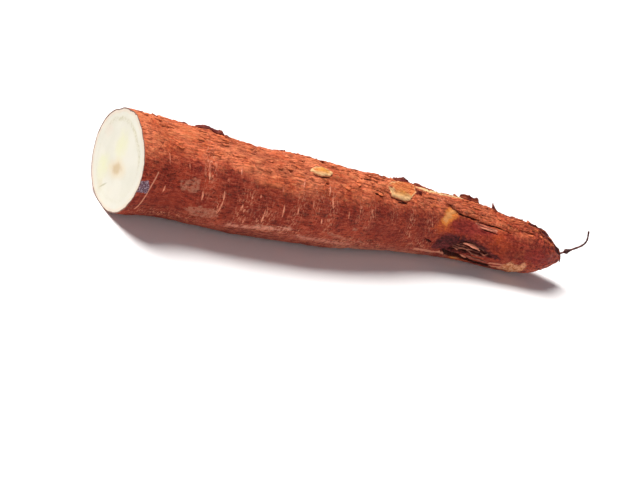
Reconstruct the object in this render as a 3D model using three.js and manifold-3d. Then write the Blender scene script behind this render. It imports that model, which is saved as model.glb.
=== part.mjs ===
// A cassava root, cut across its thick end and lying on its side.
// Millimetres, +Z up. The root runs along +X from the cut face to the tip,
// and its underside rests on the plane Z = 0.

import * as THREE from 'three';
import { mergeVertices } from 'three/addons/utils/BufferGeometryUtils.js';
import Module from 'manifold-3d';

// ---- Driving dimensions ----

// The root's length along X, from the centre of the cut face to the tip.
const ROOT_LENGTH = 332;

// Values at stations spaced evenly from the cut face to the tip.
const RADIUS = [28.5, 27.1, 26.7, 25.6, 25.4, 24.5, 23.4, 21.4, 20.2, 19.3, 17.9, 15.9, 7.1];
const SIDE_SWAY = [0, 2.7, -0.1, -1.8, -1.1, 0.9, 4.6, 8.6, 12.3, 14.0, 10.0, 7.3, 5.1];
const UNDERSIDE_LIFT = [0, 0, 0.4, 0.8, 1.0, 1.0, 0.8, 0.5, 0.2, 0, 0.1, 2.6, 10.6];

// The last stretch closes to a blunt point; a higher power makes it blunter.
const TIP_STRETCH = 28;
const TIP_POWER = 2.4;

// The knife went through at a slight slant, in degrees: the cut face looks a
// little towards -Y and a touch downwards.
const CUT_SLANT_Y = 5.6;
const CUT_SLANT_Z = 0.8;
const CUT_ALLOWANCE = 12;

// How deep the flats are that the root lies on.
const FLAT_DEPTH = 0.5;

// Ring wrinkles: distance from the cut face, depth, half-width along the root.
const WRINKLES = [
  [17.5, 0.3, 3],
  [43, 0.4, 3],
  [55.5, 0.5, 3.5],
  [83, 0.4, 3],
  [96, 0.4, 3],
  [125, 0.7, 4],
  [150, 0.4, 3],
  [160, 0.5, 3.5],
  [192, 0.5, 3.5],
  [228, 0.6, 4],
];

// Scales of old bark, each an outline on the surface: distance from the cut
// face, then the angle up from -Y in degrees.
const SCALES = [
  [[42, 107], [50, 105], [60, 109], [59, 119], [48, 122], [41, 115]],
  [[112, 66], [121, 63], [129, 74], [127, 86], [117, 85], [111, 76]],
  [[172, 66], [181, 58], [193, 63], [201, 80], [204, 104], [193, 112], [181, 96], [173, 82]],
  [[206, 104], [219, 99], [232, 104], [229, 117], [214, 120], [205, 113]],
  [[243, 104], [252, 101], [261, 107], [257, 119], [246, 120]],
  [[218, -8], [221, 11], [233, 18], [249, 10], [266, 4], [262, -6], [240, -4], [228, -12]],
];
const SCALE_THICKNESS = 0.9;
const SCALE_ROOT_DEPTH = 6;

// The torn hollow low on the flank, where a branch root was pulled away.
const HOLLOW = { along: 251, degrees: -24, length: 22, width: 5.5, depth: 3.4, twist: -28 };

// The wiry rootlet, which starts just clear of the tip.
const ROOTLET_RADIUS = 0.6;
const ROOTLET_KNOB_RADIUS = 1.3;
const ROOTLET_PATH = [
  [331.4, 4.2, 21.4],
  [333.5, 3.4, 23.5],
  [336.6, 2.6, 26.2],
  [340.7, 1.7, 30.1],
  [342.7, 1.8, 33.0],
  [343.5, 2.8, 35.8],
  [343.5, 5.3, 40.3],
];

// Mesh fineness.
const RINGS = 88;
const TIP_RINGS = 12;
const SIDES = 36;

const BARK = new THREE.MeshStandardMaterial({ color: 0xa65a38, roughness: 0.8, metalness: 0 });
const ROOTLET_BARK = new THREE.MeshStandardMaterial({ color: 0x5a2a1c, roughness: 0.8, metalness: 0 });

const wasm = await Module();
wasm.setup();

// ---- Solids from meshes and back ----

// The mesh as a solid, its shared corners merged and its empty triangles, such
// as those at a pole, left out.
function toSolid(geometry) {
  geometry.deleteAttribute('normal');
  geometry.deleteAttribute('uv');
  const merged = mergeVertices(geometry, 1e-4);
  const corners = Array.from(merged.index.array);
  const kept = [];
  for (let i = 0; i < corners.length; i += 3) {
    const [a, b, c] = corners.slice(i, i + 3);
    if (a !== b && b !== c && c !== a) {
      kept.push(a, b, c);
    }
  }
  const mesh = new wasm.Mesh({
    numProp: 3,
    vertProperties: new Float32Array(merged.attributes.position.array),
    triVerts: new Uint32Array(kept),
  });
  return new wasm.Manifold(mesh);
}

function toGeometry(solid) {
  const mesh = solid.getMesh();
  const geometry = new THREE.BufferGeometry();
  geometry.setAttribute('position', new THREE.BufferAttribute(mesh.vertProperties, 3));
  geometry.setIndex(new THREE.BufferAttribute(mesh.triVerts, 1));
  geometry.computeVertexNormals();
  return geometry;
}

// ---- The root's shape ----

// A smooth curve through values spaced evenly from 0 to 1.
function smoothThrough(values) {
  const curve = new THREE.SplineCurve(values.map((value, i) => new THREE.Vector2(i, value)));
  return (fraction) => curve.getPoint(THREE.MathUtils.clamp(fraction, 0, 1)).y;
}

const radiusAt = smoothThrough(RADIUS);
const swayAt = smoothThrough(SIDE_SWAY);
const liftAt = smoothThrough(UNDERSIDE_LIFT);

function bodyRadius(x) {
  const intoTip = THREE.MathUtils.clamp((x - ROOT_LENGTH + TIP_STRETCH) / TIP_STRETCH, 0, 1);
  return radiusAt(x / ROOT_LENGTH) * Math.sqrt(1 - intoTip ** TIP_POWER);
}

function centreAt(x) {
  const fraction = x / ROOT_LENGTH;
  const height = radiusAt(fraction) + liftAt(fraction) - FLAT_DEPTH;
  return new THREE.Vector3(x, swayAt(fraction), height);
}

function bell(distance) {
  return Math.exp(-distance * distance);
}

// How far the bark stands above or below the smooth body. The angle is zero
// at -Y and a quarter turn at +Z.
function relief(x, angle) {
  let height = 0.35 * Math.sin(3 * angle + x / 31) * Math.sin(x / 19);
  height += 0.25 * Math.sin(5 * angle - x / 23);
  for (const [along, depth, halfWidth] of WRINKLES) {
    const uneven = 0.6 + 0.4 * Math.sin(2 * angle + along);
    height -= depth * uneven * bell((x - along) / halfWidth);
  }
  const fadeAtTip = THREE.MathUtils.smoothstep(ROOT_LENGTH - x, 0, 25);
  return height * fadeAtTip;
}

// A turned body of the right radii, still on a straight axis.
function turnedBody() {
  const profile = [new THREE.Vector2(0, -CUT_ALLOWANCE)];
  const bodyEnd = ROOT_LENGTH - TIP_STRETCH;
  for (let i = 0; i <= RINGS; i += 1) {
    const x = -CUT_ALLOWANCE + (bodyEnd + CUT_ALLOWANCE) * (i / RINGS);
    profile.push(new THREE.Vector2(bodyRadius(x), x));
  }
  for (let i = 1; i < TIP_RINGS; i += 1) {
    const x = bodyEnd + TIP_STRETCH * Math.sin((i / TIP_RINGS) * Math.PI / 2);
    profile.push(new THREE.Vector2(bodyRadius(x), x));
  }
  profile.push(new THREE.Vector2(0, ROOT_LENGTH));
  const geometry = new THREE.LatheGeometry(profile, SIDES);
  geometry.rotateZ(-Math.PI / 2);
  return geometry;
}

// A point above the smooth body: distance from the cut face, angle, and height.
function pointOnBark(x, angle, height) {
  const reach = bodyRadius(x) + height;
  const point = centreAt(x);
  point.y -= reach * Math.cos(angle);
  point.z += reach * Math.sin(angle);
  return point;
}

// The turned body, roughened with the bark's relief, thickened all over by
// extra, and bent onto its centre line.
function bendAndRoughen(geometry, extra) {
  const position = geometry.attributes.position;
  for (let i = 0; i < position.count; i += 1) {
    const x = position.getX(i);
    const across = Math.hypot(position.getY(i), position.getZ(i));
    const angle = Math.atan2(position.getZ(i), -position.getY(i));
    const share = across / Math.max(bodyRadius(x), 0.01);
    const reach = across + (relief(x, angle) + extra) * Math.min(share, 1);
    const centre = centreAt(Math.max(x, 0));
    const y = centre.y - reach * Math.cos(angle);
    const z = centre.z + reach * Math.sin(angle);
    position.setXYZ(i, x, y, z);
  }
}

// A large block whose +X face lies in the plane of the knife cut.
function knifeBlock() {
  const size = 200;
  const block = new THREE.BoxGeometry(size, size, size);
  block.translate(-size / 2, 0, 0);
  block.rotateZ(THREE.MathUtils.degToRad(CUT_SLANT_Y));
  block.rotateY(THREE.MathUtils.degToRad(-CUT_SLANT_Z));
  const centre = centreAt(0);
  block.translate(centre.x, centre.y, centre.z);
  return block;
}

// Everything below the plane that the root rests on.
function floorBlock() {
  const block = new THREE.BoxGeometry(600, 300, 50);
  block.translate(ROOT_LENGTH / 2, 0, -25);
  return block;
}

// Moves a piece made about the origin onto the bark, its +Z pointing outwards
// and its +X running along the root.
function layOnBark(geometry, x, degrees, height) {
  const angle = THREE.MathUtils.degToRad(degrees);
  geometry.rotateX(Math.PI / 2 - angle);
  const point = pointOnBark(x, angle, height);
  geometry.translate(point.x, point.y, point.z);
  return geometry;
}

// A long lens that leaves the torn hollow when it is taken out of the bark.
function hollowLens() {
  const lens = new THREE.SphereGeometry(1, 20, 12);
  lens.scale(HOLLOW.length, HOLLOW.width, HOLLOW.depth);
  lens.rotateZ(THREE.MathUtils.degToRad(HOLLOW.twist));
  return layOnBark(lens, HOLLOW.along, HOLLOW.degrees, 0.4);
}

// A prism standing on the bark over one scale's outline.
function scalePrism(outline) {
  const middle = (values) => (Math.min(...values) + Math.max(...values)) / 2;
  const along = middle(outline.map(([x]) => x));
  const degrees = middle(outline.map(([, angle]) => angle));
  const perDegree = THREE.MathUtils.degToRad(1) * bodyRadius(along);
  const corners = outline.map(([x, angle]) => {
    return new THREE.Vector2(x - along, (angle - degrees) * perDegree);
  });
  const shape = new THREE.Shape(corners);
  const prism = new THREE.ExtrudeGeometry(shape, {
    depth: SCALE_ROOT_DEPTH + 4,
    bevelEnabled: false,
  });
  prism.translate(0, 0, -SCALE_ROOT_DEPTH);
  return layOnBark(prism, along, degrees, 0);
}

function roughBody(extra) {
  const body = turnedBody();
  bendAndRoughen(body, extra);
  return toSolid(body);
}

function makeRoot() {
  const thicker = roughBody(SCALE_THICKNESS);
  let root = roughBody(0);
  for (const outline of SCALES) {
    root = root.add(thicker.intersect(toSolid(scalePrism(outline))));
  }
  return root
    .subtract(toSolid(knifeBlock()))
    .subtract(toSolid(floorBlock()))
    .subtract(toSolid(hollowLens()));
}

// ---- The rootlet ----

function makeRootlet() {
  const path = new THREE.CatmullRomCurve3(ROOTLET_PATH.map((point) => new THREE.Vector3(...point)));
  const section = new THREE.Shape();
  section.absarc(0, 0, ROOTLET_RADIUS, 0, 2 * Math.PI);
  const wire = new THREE.ExtrudeGeometry(section, { extrudePath: path, steps: 24, curveSegments: 4 });
  const knob = new THREE.SphereGeometry(ROOTLET_KNOB_RADIUS, 12, 8);
  const base = path.getPointAt(0.06);
  knob.translate(base.x, base.y, base.z);
  return toSolid(wire).add(toSolid(knob));
}

// ---- The object ----

function namedMesh(name, solid, material) {
  const mesh = new THREE.Mesh(toGeometry(solid), material);
  mesh.name = name;
  return mesh;
}

const cassava = new THREE.Group();
cassava.add(namedMesh('cassava_root', makeRoot(), BARK));
cassava.add(namedMesh('tail_rootlet', makeRootlet(), ROOTLET_BARK));

// The origin goes to the middle of the footprint, on the plane of the flats.
const box = new THREE.Box3().setFromObject(cassava);
cassava.position.set(-(box.min.x + box.max.x) / 2, -(box.min.y + box.max.y) / 2, -box.min.z);
cassava.updateMatrixWorld(true);

export default cassava;
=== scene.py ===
# %% [markdown]
# # A cassava root, shaped with arrays
# Cassava is a starchy root under a thin, dry bark. This one was cut off the
# plant with a knife, so it has a flat creamy end, and it tapers to a blunt tip
# with one wiry rootlet. The lesson opens the measured frame, works the root
# out as one grid of points, gives the grid its scales, cracks and scars, adds
# the loose chips of bark, and paints everything with nodes.

# %% Open the frame
import math
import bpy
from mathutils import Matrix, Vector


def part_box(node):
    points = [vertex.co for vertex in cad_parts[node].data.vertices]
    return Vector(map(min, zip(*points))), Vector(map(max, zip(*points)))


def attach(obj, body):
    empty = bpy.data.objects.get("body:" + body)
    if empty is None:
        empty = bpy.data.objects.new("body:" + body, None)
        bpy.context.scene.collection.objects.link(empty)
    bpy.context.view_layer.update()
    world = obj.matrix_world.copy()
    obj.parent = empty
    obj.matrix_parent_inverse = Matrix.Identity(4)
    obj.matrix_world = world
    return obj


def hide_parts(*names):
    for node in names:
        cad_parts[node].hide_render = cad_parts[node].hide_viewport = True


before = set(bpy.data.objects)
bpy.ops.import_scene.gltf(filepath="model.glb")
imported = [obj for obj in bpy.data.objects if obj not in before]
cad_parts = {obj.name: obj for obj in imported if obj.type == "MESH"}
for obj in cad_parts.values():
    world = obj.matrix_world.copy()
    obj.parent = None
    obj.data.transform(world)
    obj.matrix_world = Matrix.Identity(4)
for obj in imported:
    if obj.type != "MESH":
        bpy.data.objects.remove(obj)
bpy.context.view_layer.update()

import types

import bpy
import mathutils
import numpy as np

ROOT_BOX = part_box("cassava_root")

# %% [markdown]
# ## A ruler for the root
# Sizes on a root are easy to think of in millimetres, so the shapes are worked
# out in millimetres and turned to metres when a mesh is made. Every place on
# the bark has two coordinates: how far it is from the cut face, and the angle
# round the root, 0 facing the viewer's side (-Y) and 90 degrees on top.

# %% The ruler
MM = 0.001
ROOT_LENGTH = 332.0
# the middle of the cut face in the frame
START_X = ROOT_BOX[1].x / MM - ROOT_LENGTH
START_Y = -2.57
print(f"the cut face is {START_X:.1f} mm along X")

# %% [markdown]
# ## The smooth body
# A root is a bent, tapering rod. It could be a cylinder scaled ring by ring by
# hand, but a handful of radii joined by a smooth curve says the same in one
# line, and any point on it can be asked for later, when chips are laid on it.

# %% The smooth body
# evenly spaced from the cut face to the tip, in mm: the radius, the sway of
# the middle to one side, and the height of the underside
RADIUS = [28.5, 27.1, 26.7, 25.6, 25.4, 24.5, 23.4, 21.4, 20.2, 19.3, 17.9, 15.9, 7.1]
SIDE_SWAY = [0, 2.7, -0.1, -1.8, -1.1, 0.9, 4.6, 8.6, 12.3, 14.0, 10.0, 7.3, 5.1]
UNDERSIDE_LIFT = [0, 0, 0.4, 0.8, 1.0, 1.0, 0.8, 0.5, 0.2, 0, 0.1, 2.6, 10.6]
# how much of the round is flattened where the root lies
FLAT_DEPTH = 0.5
# the length of the closing tip, and how blunt it is
TIP_STRETCH = 28.0
TIP_POWER = 2.4


def smooth_through(values, fraction):
    """Catmull-Rom curve through evenly spaced values: each stretch is the
    cubic that leaves and arrives with the slope between its two neighbours."""
    padded = np.array([values[0], *values, values[-1]], float)
    last = len(values) - 1
    place = np.clip(fraction, 0, 1) * last
    i = np.clip(np.floor(place).astype(int), 0, last - 1)
    t = place - i
    a, b, c, d = padded[i], padded[i + 1], padded[i + 2], padded[i + 3]
    bend = (2 * a - 5 * b + 4 * c - d) * t**2 + (3 * b - a - 3 * c + d) * t**3
    return 0.5 * (2 * b + (c - a) * t + bend)


def body_radius(x):
    """The smooth radius, closed to a blunt point over the last stretch by the
    square root of one minus a power of the way into the tip."""
    into_tip = np.clip((x - ROOT_LENGTH + TIP_STRETCH) / TIP_STRETCH, 0, 1)
    return smooth_through(RADIUS, x / ROOT_LENGTH) * np.sqrt(1 - into_tip**TIP_POWER)


def centre_line(x):
    """The middle of the root: its underside plus one radius, swaying sideways."""
    share = x / ROOT_LENGTH
    lift = smooth_through(UNDERSIDE_LIFT, share) - FLAT_DEPTH
    height = smooth_through(RADIUS, share) + lift
    return START_X + x, START_Y + smooth_through(SIDE_SWAY, share), height


print("radius at the cut:", round(float(body_radius(0.0)), 1), "mm")

# %% [markdown]
# ## Random grain that closes on itself
# Bark is random but never scattered dust: it is smooth over a small distance
# and repeats nowhere. Blender's noise texture gives that inside a material.
# The mesh needs it as numbers, so this cell makes its own: random heights on a
# coarse net wrapped round the root, and an easy slope from one to the next.

# %% Random grain
# the net starts this far before the cut face and is this long, in mm
NET_MARGIN, NET_LENGTH = 40, 420
# three layers together reach about this far from zero
LAYERED_REACH = 1.6


def ease(t):
    """Zero below 0, one above 1, and 3t^2 - 2t^3 in between."""
    t = np.clip(t, 0, 1)
    return t * t * (3 - 2 * t)


def grain(x, angle, cell, around, seed):
    """A smooth random field from -1 to 1. Random numbers sit `cell` mm apart
    along the root and `around` of them in one turn, and each point eases
    between the four that stand round it."""
    rows = int(NET_LENGTH / cell) + 4
    table = np.random.default_rng(seed).uniform(-1, 1, (rows, around))
    u = (x + NET_MARGIN) / cell
    v = (angle / (2 * math.pi)) % 1.0 * around
    i, j = np.floor(u).astype(int), np.floor(v).astype(int)
    s, t = ease(u - i), ease(v - j)
    i, j, k = np.clip(i, 0, rows - 2), j % around, (j + 1) % around
    near = table[i, j] * (1 - t) + table[i, k] * t
    far = table[i + 1, j] * (1 - t) + table[i + 1, k] * t
    return near * (1 - s) + far * s


def layered_grain(x, angle, cell, around, seed, layers=3):
    """Several grains added up, each twice as fine and half as strong, and
    scaled back to about -1 to 1."""
    total, strength = 0, 1.0
    for layer in range(layers):
        fine = 2**layer
        total = total + strength * grain(x, angle, cell / fine, around * fine, seed + layer)
        strength *= 0.5
    return total / LAYERED_REACH


# %% [markdown]
# ## Lines and patches on the bark
# Cracks, scars and scuffs each have a place. They are drawn as if the bark
# were unrolled flat: a short line of corners for a crack, a closed outline for
# a patch. The distance from a point to that drawing then shapes the groove or
# tells the paint where the patch ends.


# %% Lines and patches
def unrolled(x, angle, corners):
    """Points and corners on one flat sheet, in mm: distance along the root,
    and the angle from the drawing's middle times the radius there."""
    corners = np.array(corners, float)
    middle = math.radians(corners[:, 1].mean())
    radius = float(body_radius(corners[:, 0].mean()))
    turn = (angle - middle + math.pi) % (2 * math.pi) - math.pi
    drawn = np.column_stack([corners[:, 0], (np.radians(corners[:, 1]) - middle) * radius])
    return x, turn * radius, drawn


def line_distance(x, angle, corners):
    """Distance in mm to a line of straight stretches, and how far along the
    line its nearest point is, from 0 to 1."""
    u, v, drawn = unrolled(x, angle, corners)
    steps = np.diff(drawn, axis=0)
    lengths = np.hypot(steps[:, 0], steps[:, 1])
    before = np.concatenate([[0], np.cumsum(lengths)]) / lengths.sum()
    nearest = np.full(np.shape(u), 1e9)
    share = np.zeros(np.shape(u))
    for i, (start, step) in enumerate(zip(drawn[:-1], steps)):
        du, dv = u - start[0], v - start[1]
        t = np.clip((du * step[0] + dv * step[1]) / lengths[i] ** 2, 0, 1)
        away = np.hypot(du - t * step[0], dv - t * step[1])
        closer = away < nearest
        nearest = np.where(closer, away, nearest)
        share = np.where(closer, before[i] + t * (before[i + 1] - before[i]), share)
    return nearest, share


def patch_depth(x, angle, corners, ragged=0.0, seed=1):
    """How far inside a closed outline a point is, in mm, negative outside. A
    point is inside when a line from it crosses the outline an odd number of
    times. `ragged` roughens the edge with grain."""
    closed = [*corners, corners[0]]
    away, _ = line_distance(x, angle, closed)
    u, v, drawn = unrolled(x, angle, closed)
    inside = np.zeros(np.shape(u), bool)
    for (u0, v0), (u1, v1) in zip(drawn[:-1], drawn[1:]):
        if v0 != v1:
            spans = (v0 > v) != (v1 > v)
            inside ^= spans & (u < u0 + (v - v0) * (u1 - u0) / (v1 - v0))
    depth = np.where(inside, away, -away)
    return depth + ragged * layered_grain(x, angle, 3.5, 44, seed)


def slit(x, angle, corners, width, seed=5):
    """A torn line: 1 in the middle, 0 at its edges, tapering to both ends."""
    away, share = line_distance(x, angle, corners)
    taper = np.sqrt(np.sin(math.pi * np.clip(share, 0.02, 0.98)))
    uneven = 1 + 0.45 * grain(x, angle, 2.2, 70, seed)
    return ease(1 - away / (width * taper * uneven))


# %% [markdown]
# ## Old bark above, tight skin below
# The top of the root carries old, dry bark in loose layers, bright orange and
# split lengthwise. Lower down the skin is tight, darker and redder. One share,
# 1 for old bark and 0 for tight skin, steers both the shape and the paint.


# %% Old bark or tight skin
def old_bark(x, angle):
    """The height round the root, blurred by slow grain, eased from 0 to 1."""
    height = np.sin(angle - math.radians(8))
    slow = 0.30 * layered_grain(x, angle, 42, 5, 11)
    return ease((height + slow - 0.28) / 0.62)


# %% [markdown]
# ## Swells and ring wrinkles
# As it thickens, the root swells unevenly and the skin pinches in rings. The
# swells are slow sine waves with slow grain; each ring is a bell-shaped
# groove that is deeper on some sides than on others.

# %% Swells and ring wrinkles
# distance from the cut face, depth and half width of each ring, in mm
WRINKLES = [
    (17.5, 0.3, 3.0), (43.0, 0.4, 3.0), (55.5, 0.5, 3.5), (83.0, 0.4, 3.0), (96.0, 0.4, 3.0),
    (125.0, 0.7, 4.0), (150.0, 0.4, 3.0), (160.0, 0.5, 3.5), (192.0, 0.5, 3.5), (228.0, 0.6, 4.0),
    (286.0, 0.4, 3.0), (299.0, 0.4, 3.0),
]


def swells(x, angle):
    """Two slow waves round the root and three layers of slow grain."""
    waves = 0.35 * np.sin(3 * angle + x / 31) * np.sin(x / 19)
    waves = waves + 0.25 * np.sin(5 * angle - x / 23)
    return waves + 0.45 * layered_grain(x, angle, 26, 8, 21)


def wrinkles(x, angle):
    """Bell-shaped grooves, each wandering a little along the root."""
    height = 0.0
    wander = 2.2 * grain(x, angle, 60, 6, 31)
    for along, depth, half_width in WRINKLES:
        uneven = 0.6 + 0.4 * np.sin(2 * angle + along)
        height = height - depth * uneven * np.exp(-(((x + wander - along) / half_width) ** 2))
    return height


# %% [markdown]
# ## Fibres, fine rings and layers of scale
# Fine ridges run along the root where fibres dry out, and short fine rings
# cross them. On the old bark thin layers have come away and left low steps. A
# random field cut into levels gives such steps: each level is a flat scale
# with a short, steep, wandering edge.

# %% Fibres, rings and scales
# the thickness of one layer of scale, in mm
SCALE_STEP = 0.40


def fibres(x, angle):
    """Grain stretched along the root, stronger on old bark and at the tip."""
    ridges = grain(x, angle, 9, 62, 41) + 0.6 * grain(x, angle, 4.5, 96, 42)
    tip = ease((x - 275) / 30)
    return 0.13 * ridges * (0.7 + 1.0 * old_bark(x, angle) + 1.2 * tip)


def fine_rings(x, angle):
    """Grain stretched round the root: short cross ridges in the skin."""
    ridges = grain(x, angle, 2.0, 24, 51) + 0.7 * grain(x, angle, 1.6, 48, 53)
    return 0.10 * ridges * (0.6 + 0.4 * grain(x, angle, 30, 6, 52))


def scale_levels(x, angle):
    """Random levels with eased steps between them."""
    bend = 2.5 * grain(x, angle, 15, 10, 61)
    field = 1.5 * grain(x + bend, angle, 13, 28, 62) + 0.9 * grain(x, angle, 6, 54, 63)
    field = field + 0.5 * grain(x, angle, 2.4, 80, 64)
    level = np.floor(field)
    step = level + ease((field - level) / 0.2)
    return SCALE_STEP * step * old_bark(x, angle)


# %% [markdown]
# ## Splits in old bark, creases at the tip
# Old bark can't stretch with the root, so it splits lengthwise, and the skin
# shrinks into folds round the tip. Drawing hundreds of splits by hand would
# take days. A random field passes through zero along thin wandering lines, and
# those lines, stretched along the root, are the splits and the folds.


# %% Splits and creases
def dry_cracks(x, angle):
    """Where a stretched random field passes through zero, old bark splits:
    long splits from a coarse field and short ones from a fine field."""
    wander = 0.25 * grain(x, angle, 7, 60, 71)
    long_field = np.abs(grain(x, angle, 24, 40, 72) + wander)
    short_field = np.abs(grain(x, angle, 13, 66, 74) + wander)
    broken = ease(grain(x, angle, 11, 24, 73) * 2 + 0.2 + 0.4 * ease((x - 150) / 40))
    splits = np.maximum(ease(1 - long_field / 0.10), 0.6 * ease(1 - short_field / 0.13))
    splits = splits * (0.35 + 0.5 * ease((x - 140) / 50))
    return splits * broken * ease(old_bark(x, angle) * 1.6 - 0.4)


def tip_creases(x, angle):
    """Skin shrunk round the tip: creases that run to the end and wander."""
    wander = 0.12 * grain(x, angle, 11, 8, 77)
    folds = np.abs(grain(x, angle + wander, 24, 22, 75))
    folds = folds + 0.5 * np.abs(grain(x, angle, 9, 40, 76))
    rough = 1.1 * layered_grain(x, angle, 4, 46, 78)
    return (0.35 + rough - 0.8 * ease(1 - folds / 0.32)) * 0.58 * ease((x - 268) / 26)


# %% [markdown]
# ## A peeled plate and a small scar
# A plate of bark has sprung up on top of the root, and a small scar nearer the
# cut has lifted the same way. Each is a closed outline with a free edge. A corner
# is its distance from the cut face in mm and its angle in degrees. Inside the
# outline the bark stands a little proud, it rises towards the free edge, and
# just outside that edge there is a gap.

# %% The plate and the scar
PLATE = [
    (171.5, 77), (173, 69), (173.7, 59), (178, 57.5), (187, 57.5), (191, 62),
    (194, 70), (199.5, 84), (202, 102), (200, 113), (193, 113), (184.4, 98), (176.3, 86),
]
PLATE_EDGE = [(171.5, 77), (173, 69), (173.7, 59), (178, 57.5), (187, 57.5), (190, 61)]
SCAR = [
    (110.0, 71), (114, 66.5), (119, 66), (124.5, 69), (128.0, 75.5), (125.5, 79),
    (120, 81.5), (114.5, 79), (111, 75),
]
SCAR_EDGE = [(110.3, 70), (114, 66.5), (119, 66), (124.5, 69), (126.5, 74)]
# a mark's own seed makes its ragged edge come out the same in shape and paint
PLATE_SEED, SCAR_SEED = 81, 82
# outline, free edge, rise of the edge and depth of the gap in mm, seed
LIFTED_BARK = [
    (PLATE, PLATE_EDGE, 1.0, 1.1, PLATE_SEED),
    (SCAR, SCAR_EDGE, 0.9, 0.9, SCAR_SEED),
]


def lifted_edge(x, angle, outline, edge, rise, seed):
    """A sprung plate of bark: a low step all round, and along its free edge a
    rise that sinks back over a few millimetres."""
    inside = patch_depth(x, angle, outline, 0.5, seed)
    away, share = line_distance(x, angle, edge)
    along_edge = np.sin(math.pi * np.clip(share, 0.08, 0.92)) ** 0.5
    return ease(inside / 0.7) * (0.25 + rise * along_edge * np.exp(-away / 3.2))


def undercut(x, angle, outline, edge, seed):
    """The gap just outside a plate's free edge, sunk in and painted dark as its shade: 1 in it, 0
    elsewhere.
    """
    outside = -patch_depth(x, angle, outline, 0.3, seed)
    away, share = line_distance(x, angle, edge)
    along_edge = np.sin(math.pi * np.clip(share, 0.05, 0.95)) ** 0.5
    return ease(1 - np.abs(outside - 0.7) / 0.9) * ease(1 - away / 2.4) * along_edge


# %% [markdown]
# ## The torn hollow
# Low on the flank a branch root was pulled off. It left a hollow ribbed by torn
# fibres, skin that has healed into a ridge above it, a strip of skin hanging
# below it, and two slits under that strip. All are drawn in the same terms as
# the plate: an outline for the hollow and lines for the rest.

# %% The torn hollow
HOLLOW = [
    (231.5, -16), (232.8, -9), (234.7, -2), (238.3, 5), (243.2, 9), (247.5, 9.5),
    (253.7, 5), (258.4, 1), (264, -5), (267, -9), (262.5, -12), (257.7, -13),
    (251.8, -16), (247.8, -19), (241.1, -18), (236, -20),
]
HOLLOW_DEPTH, HOLLOW_SEED = 2.7, 83
HEALED_RIDGE = [(222, -6), (230, 12), (246, 20), (262, 12), (276, -4)]
LOWER_LIP = [(219, -29), (225, -26), (231, -27), (236, -33), (241, -37)]
HANGING_STRIP = [(244, -24), (252, -25), (260, -27), (270, -31)]
DEEP_SLIT = [(229.5, -20), (234, -25.5), (239, -30.5), (245, -34.5), (252, -37), (260, -39)]
LOWER_SLIT = [(244, -34), (252, -37.5), (259, -40), (267, -42), (279, -43.5)]
# corners, width of the groove, width of its painted shade, depth in mm, seed
SLITS = [
    (DEEP_SLIT, 3.4, 5.2, 3.6, 89),
    (LOWER_SLIT, 2.6, 4.8, 2.2, 90),
]


def torn_hollow(x, angle):
    """The hole itself, ribbed along the root by the torn fibres."""
    inside = patch_depth(x, angle, HOLLOW, 1.0, HOLLOW_SEED)
    ribs = 1.1 * grain(x, angle, 14, 78, 84) + 0.6 * grain(x, angle, 5, 110, 85)
    return ease(inside / 1.6) * (HOLLOW_DEPTH + ribs)


def raised_line(x, angle, corners, half_width):
    """A bell-shaped ridge along a line, sinking to both of its ends."""
    away, share = line_distance(x, angle, corners)
    return np.exp(-((away / half_width) ** 2)) * np.sin(math.pi * np.clip(share, 0.05, 0.95))


def swollen_lip(x, angle):
    """The healed ridge over the hollow and the thin lip under the slit."""
    over, _ = line_distance(x, angle, HEALED_RIDGE)
    return np.exp(-((over / 3.6) ** 2)) + raised_line(x, angle, LOWER_LIP, 1.6)


def hanging_flap(x, angle):
    """The strip of skin between the hollow and the slit below it."""
    return 1.1 * raised_line(x, angle, HANGING_STRIP, 2.6)


# %% [markdown]
# ## Cracks
# One long crack opens past the plate, and short ones follow the fibres all over
# the old bark. Noise could scatter them, but these are the ones the eye
# finds first, so each has its own line and its own width.

# %% Cracks
LONG_CRACK = [(225, 74), (228, 68), (231, 61), (234.7, 55), (240.6, 53.5), (247.5, 52.5), (255, 53)]
LONG_CRACK_WIDTH, LONG_CRACK_SEED = 1.05, 91
# corners and width of each short crack; its seed is its number past the first
CRACKS = [
    ([(208.3, -1), (212.4, -3), (216.4, -7)], 1.1),
    ([(159.5, 89), (164, 88), (169, 89), (175, 91)], 1.0),
    ([(157, 64), (162, 63), (167, 59)], 0.7),
    ([(157, 56), (162, 56), (168, 54)], 0.6),
    ([(118.5, 62), (121.5, 61)], 0.7),
    ([(119, 57), (124, 58)], 0.6),
    ([(178, 51), (184, 53), (190, 53)], 0.6),
    ([(150, 78), (157, 80), (163, 79)], 0.8),
    ([(250, 49), (257.5, 50), (264, 52.5), (271, 53), (279, 50)], 0.8),
    ([(251, 37), (259, 37.5), (268, 38.5)], 0.5),
    ([(243, 66), (250, 64), (259, 63)], 0.6),
    ([(236, 84), (246, 82), (254, 82)], 0.6),
    ([(280, 62), (290, 64), (300, 60)], 0.5),
    ([(286, 107), (299, 104), (311, 97), (321, 88)], 0.7),
    ([(52, 88), (61, 90), (70, 89)], 0.7),
    ([(36, 74), (43, 76)], 0.6),
    ([(84, 84), (95, 82)], 0.7),
    ([(96, 90), (104, 93)], 0.7),
    ([(15, 82), (24, 84)], 0.6),
    ([(134, 88), (142, 90), (150, 88)], 0.7),
    ([(205, 72), (214, 74), (221, 71)], 0.7),
    ([(182, 120), (197, 124), (214, 122), (226, 126)], 1.0),
    ([(70, 132), (84, 136), (97, 133)], 0.8),
    ([(112, 148), (130, 152), (146, 147)], 0.8),
]
FIRST_CRACK_SEED = 93


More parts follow.
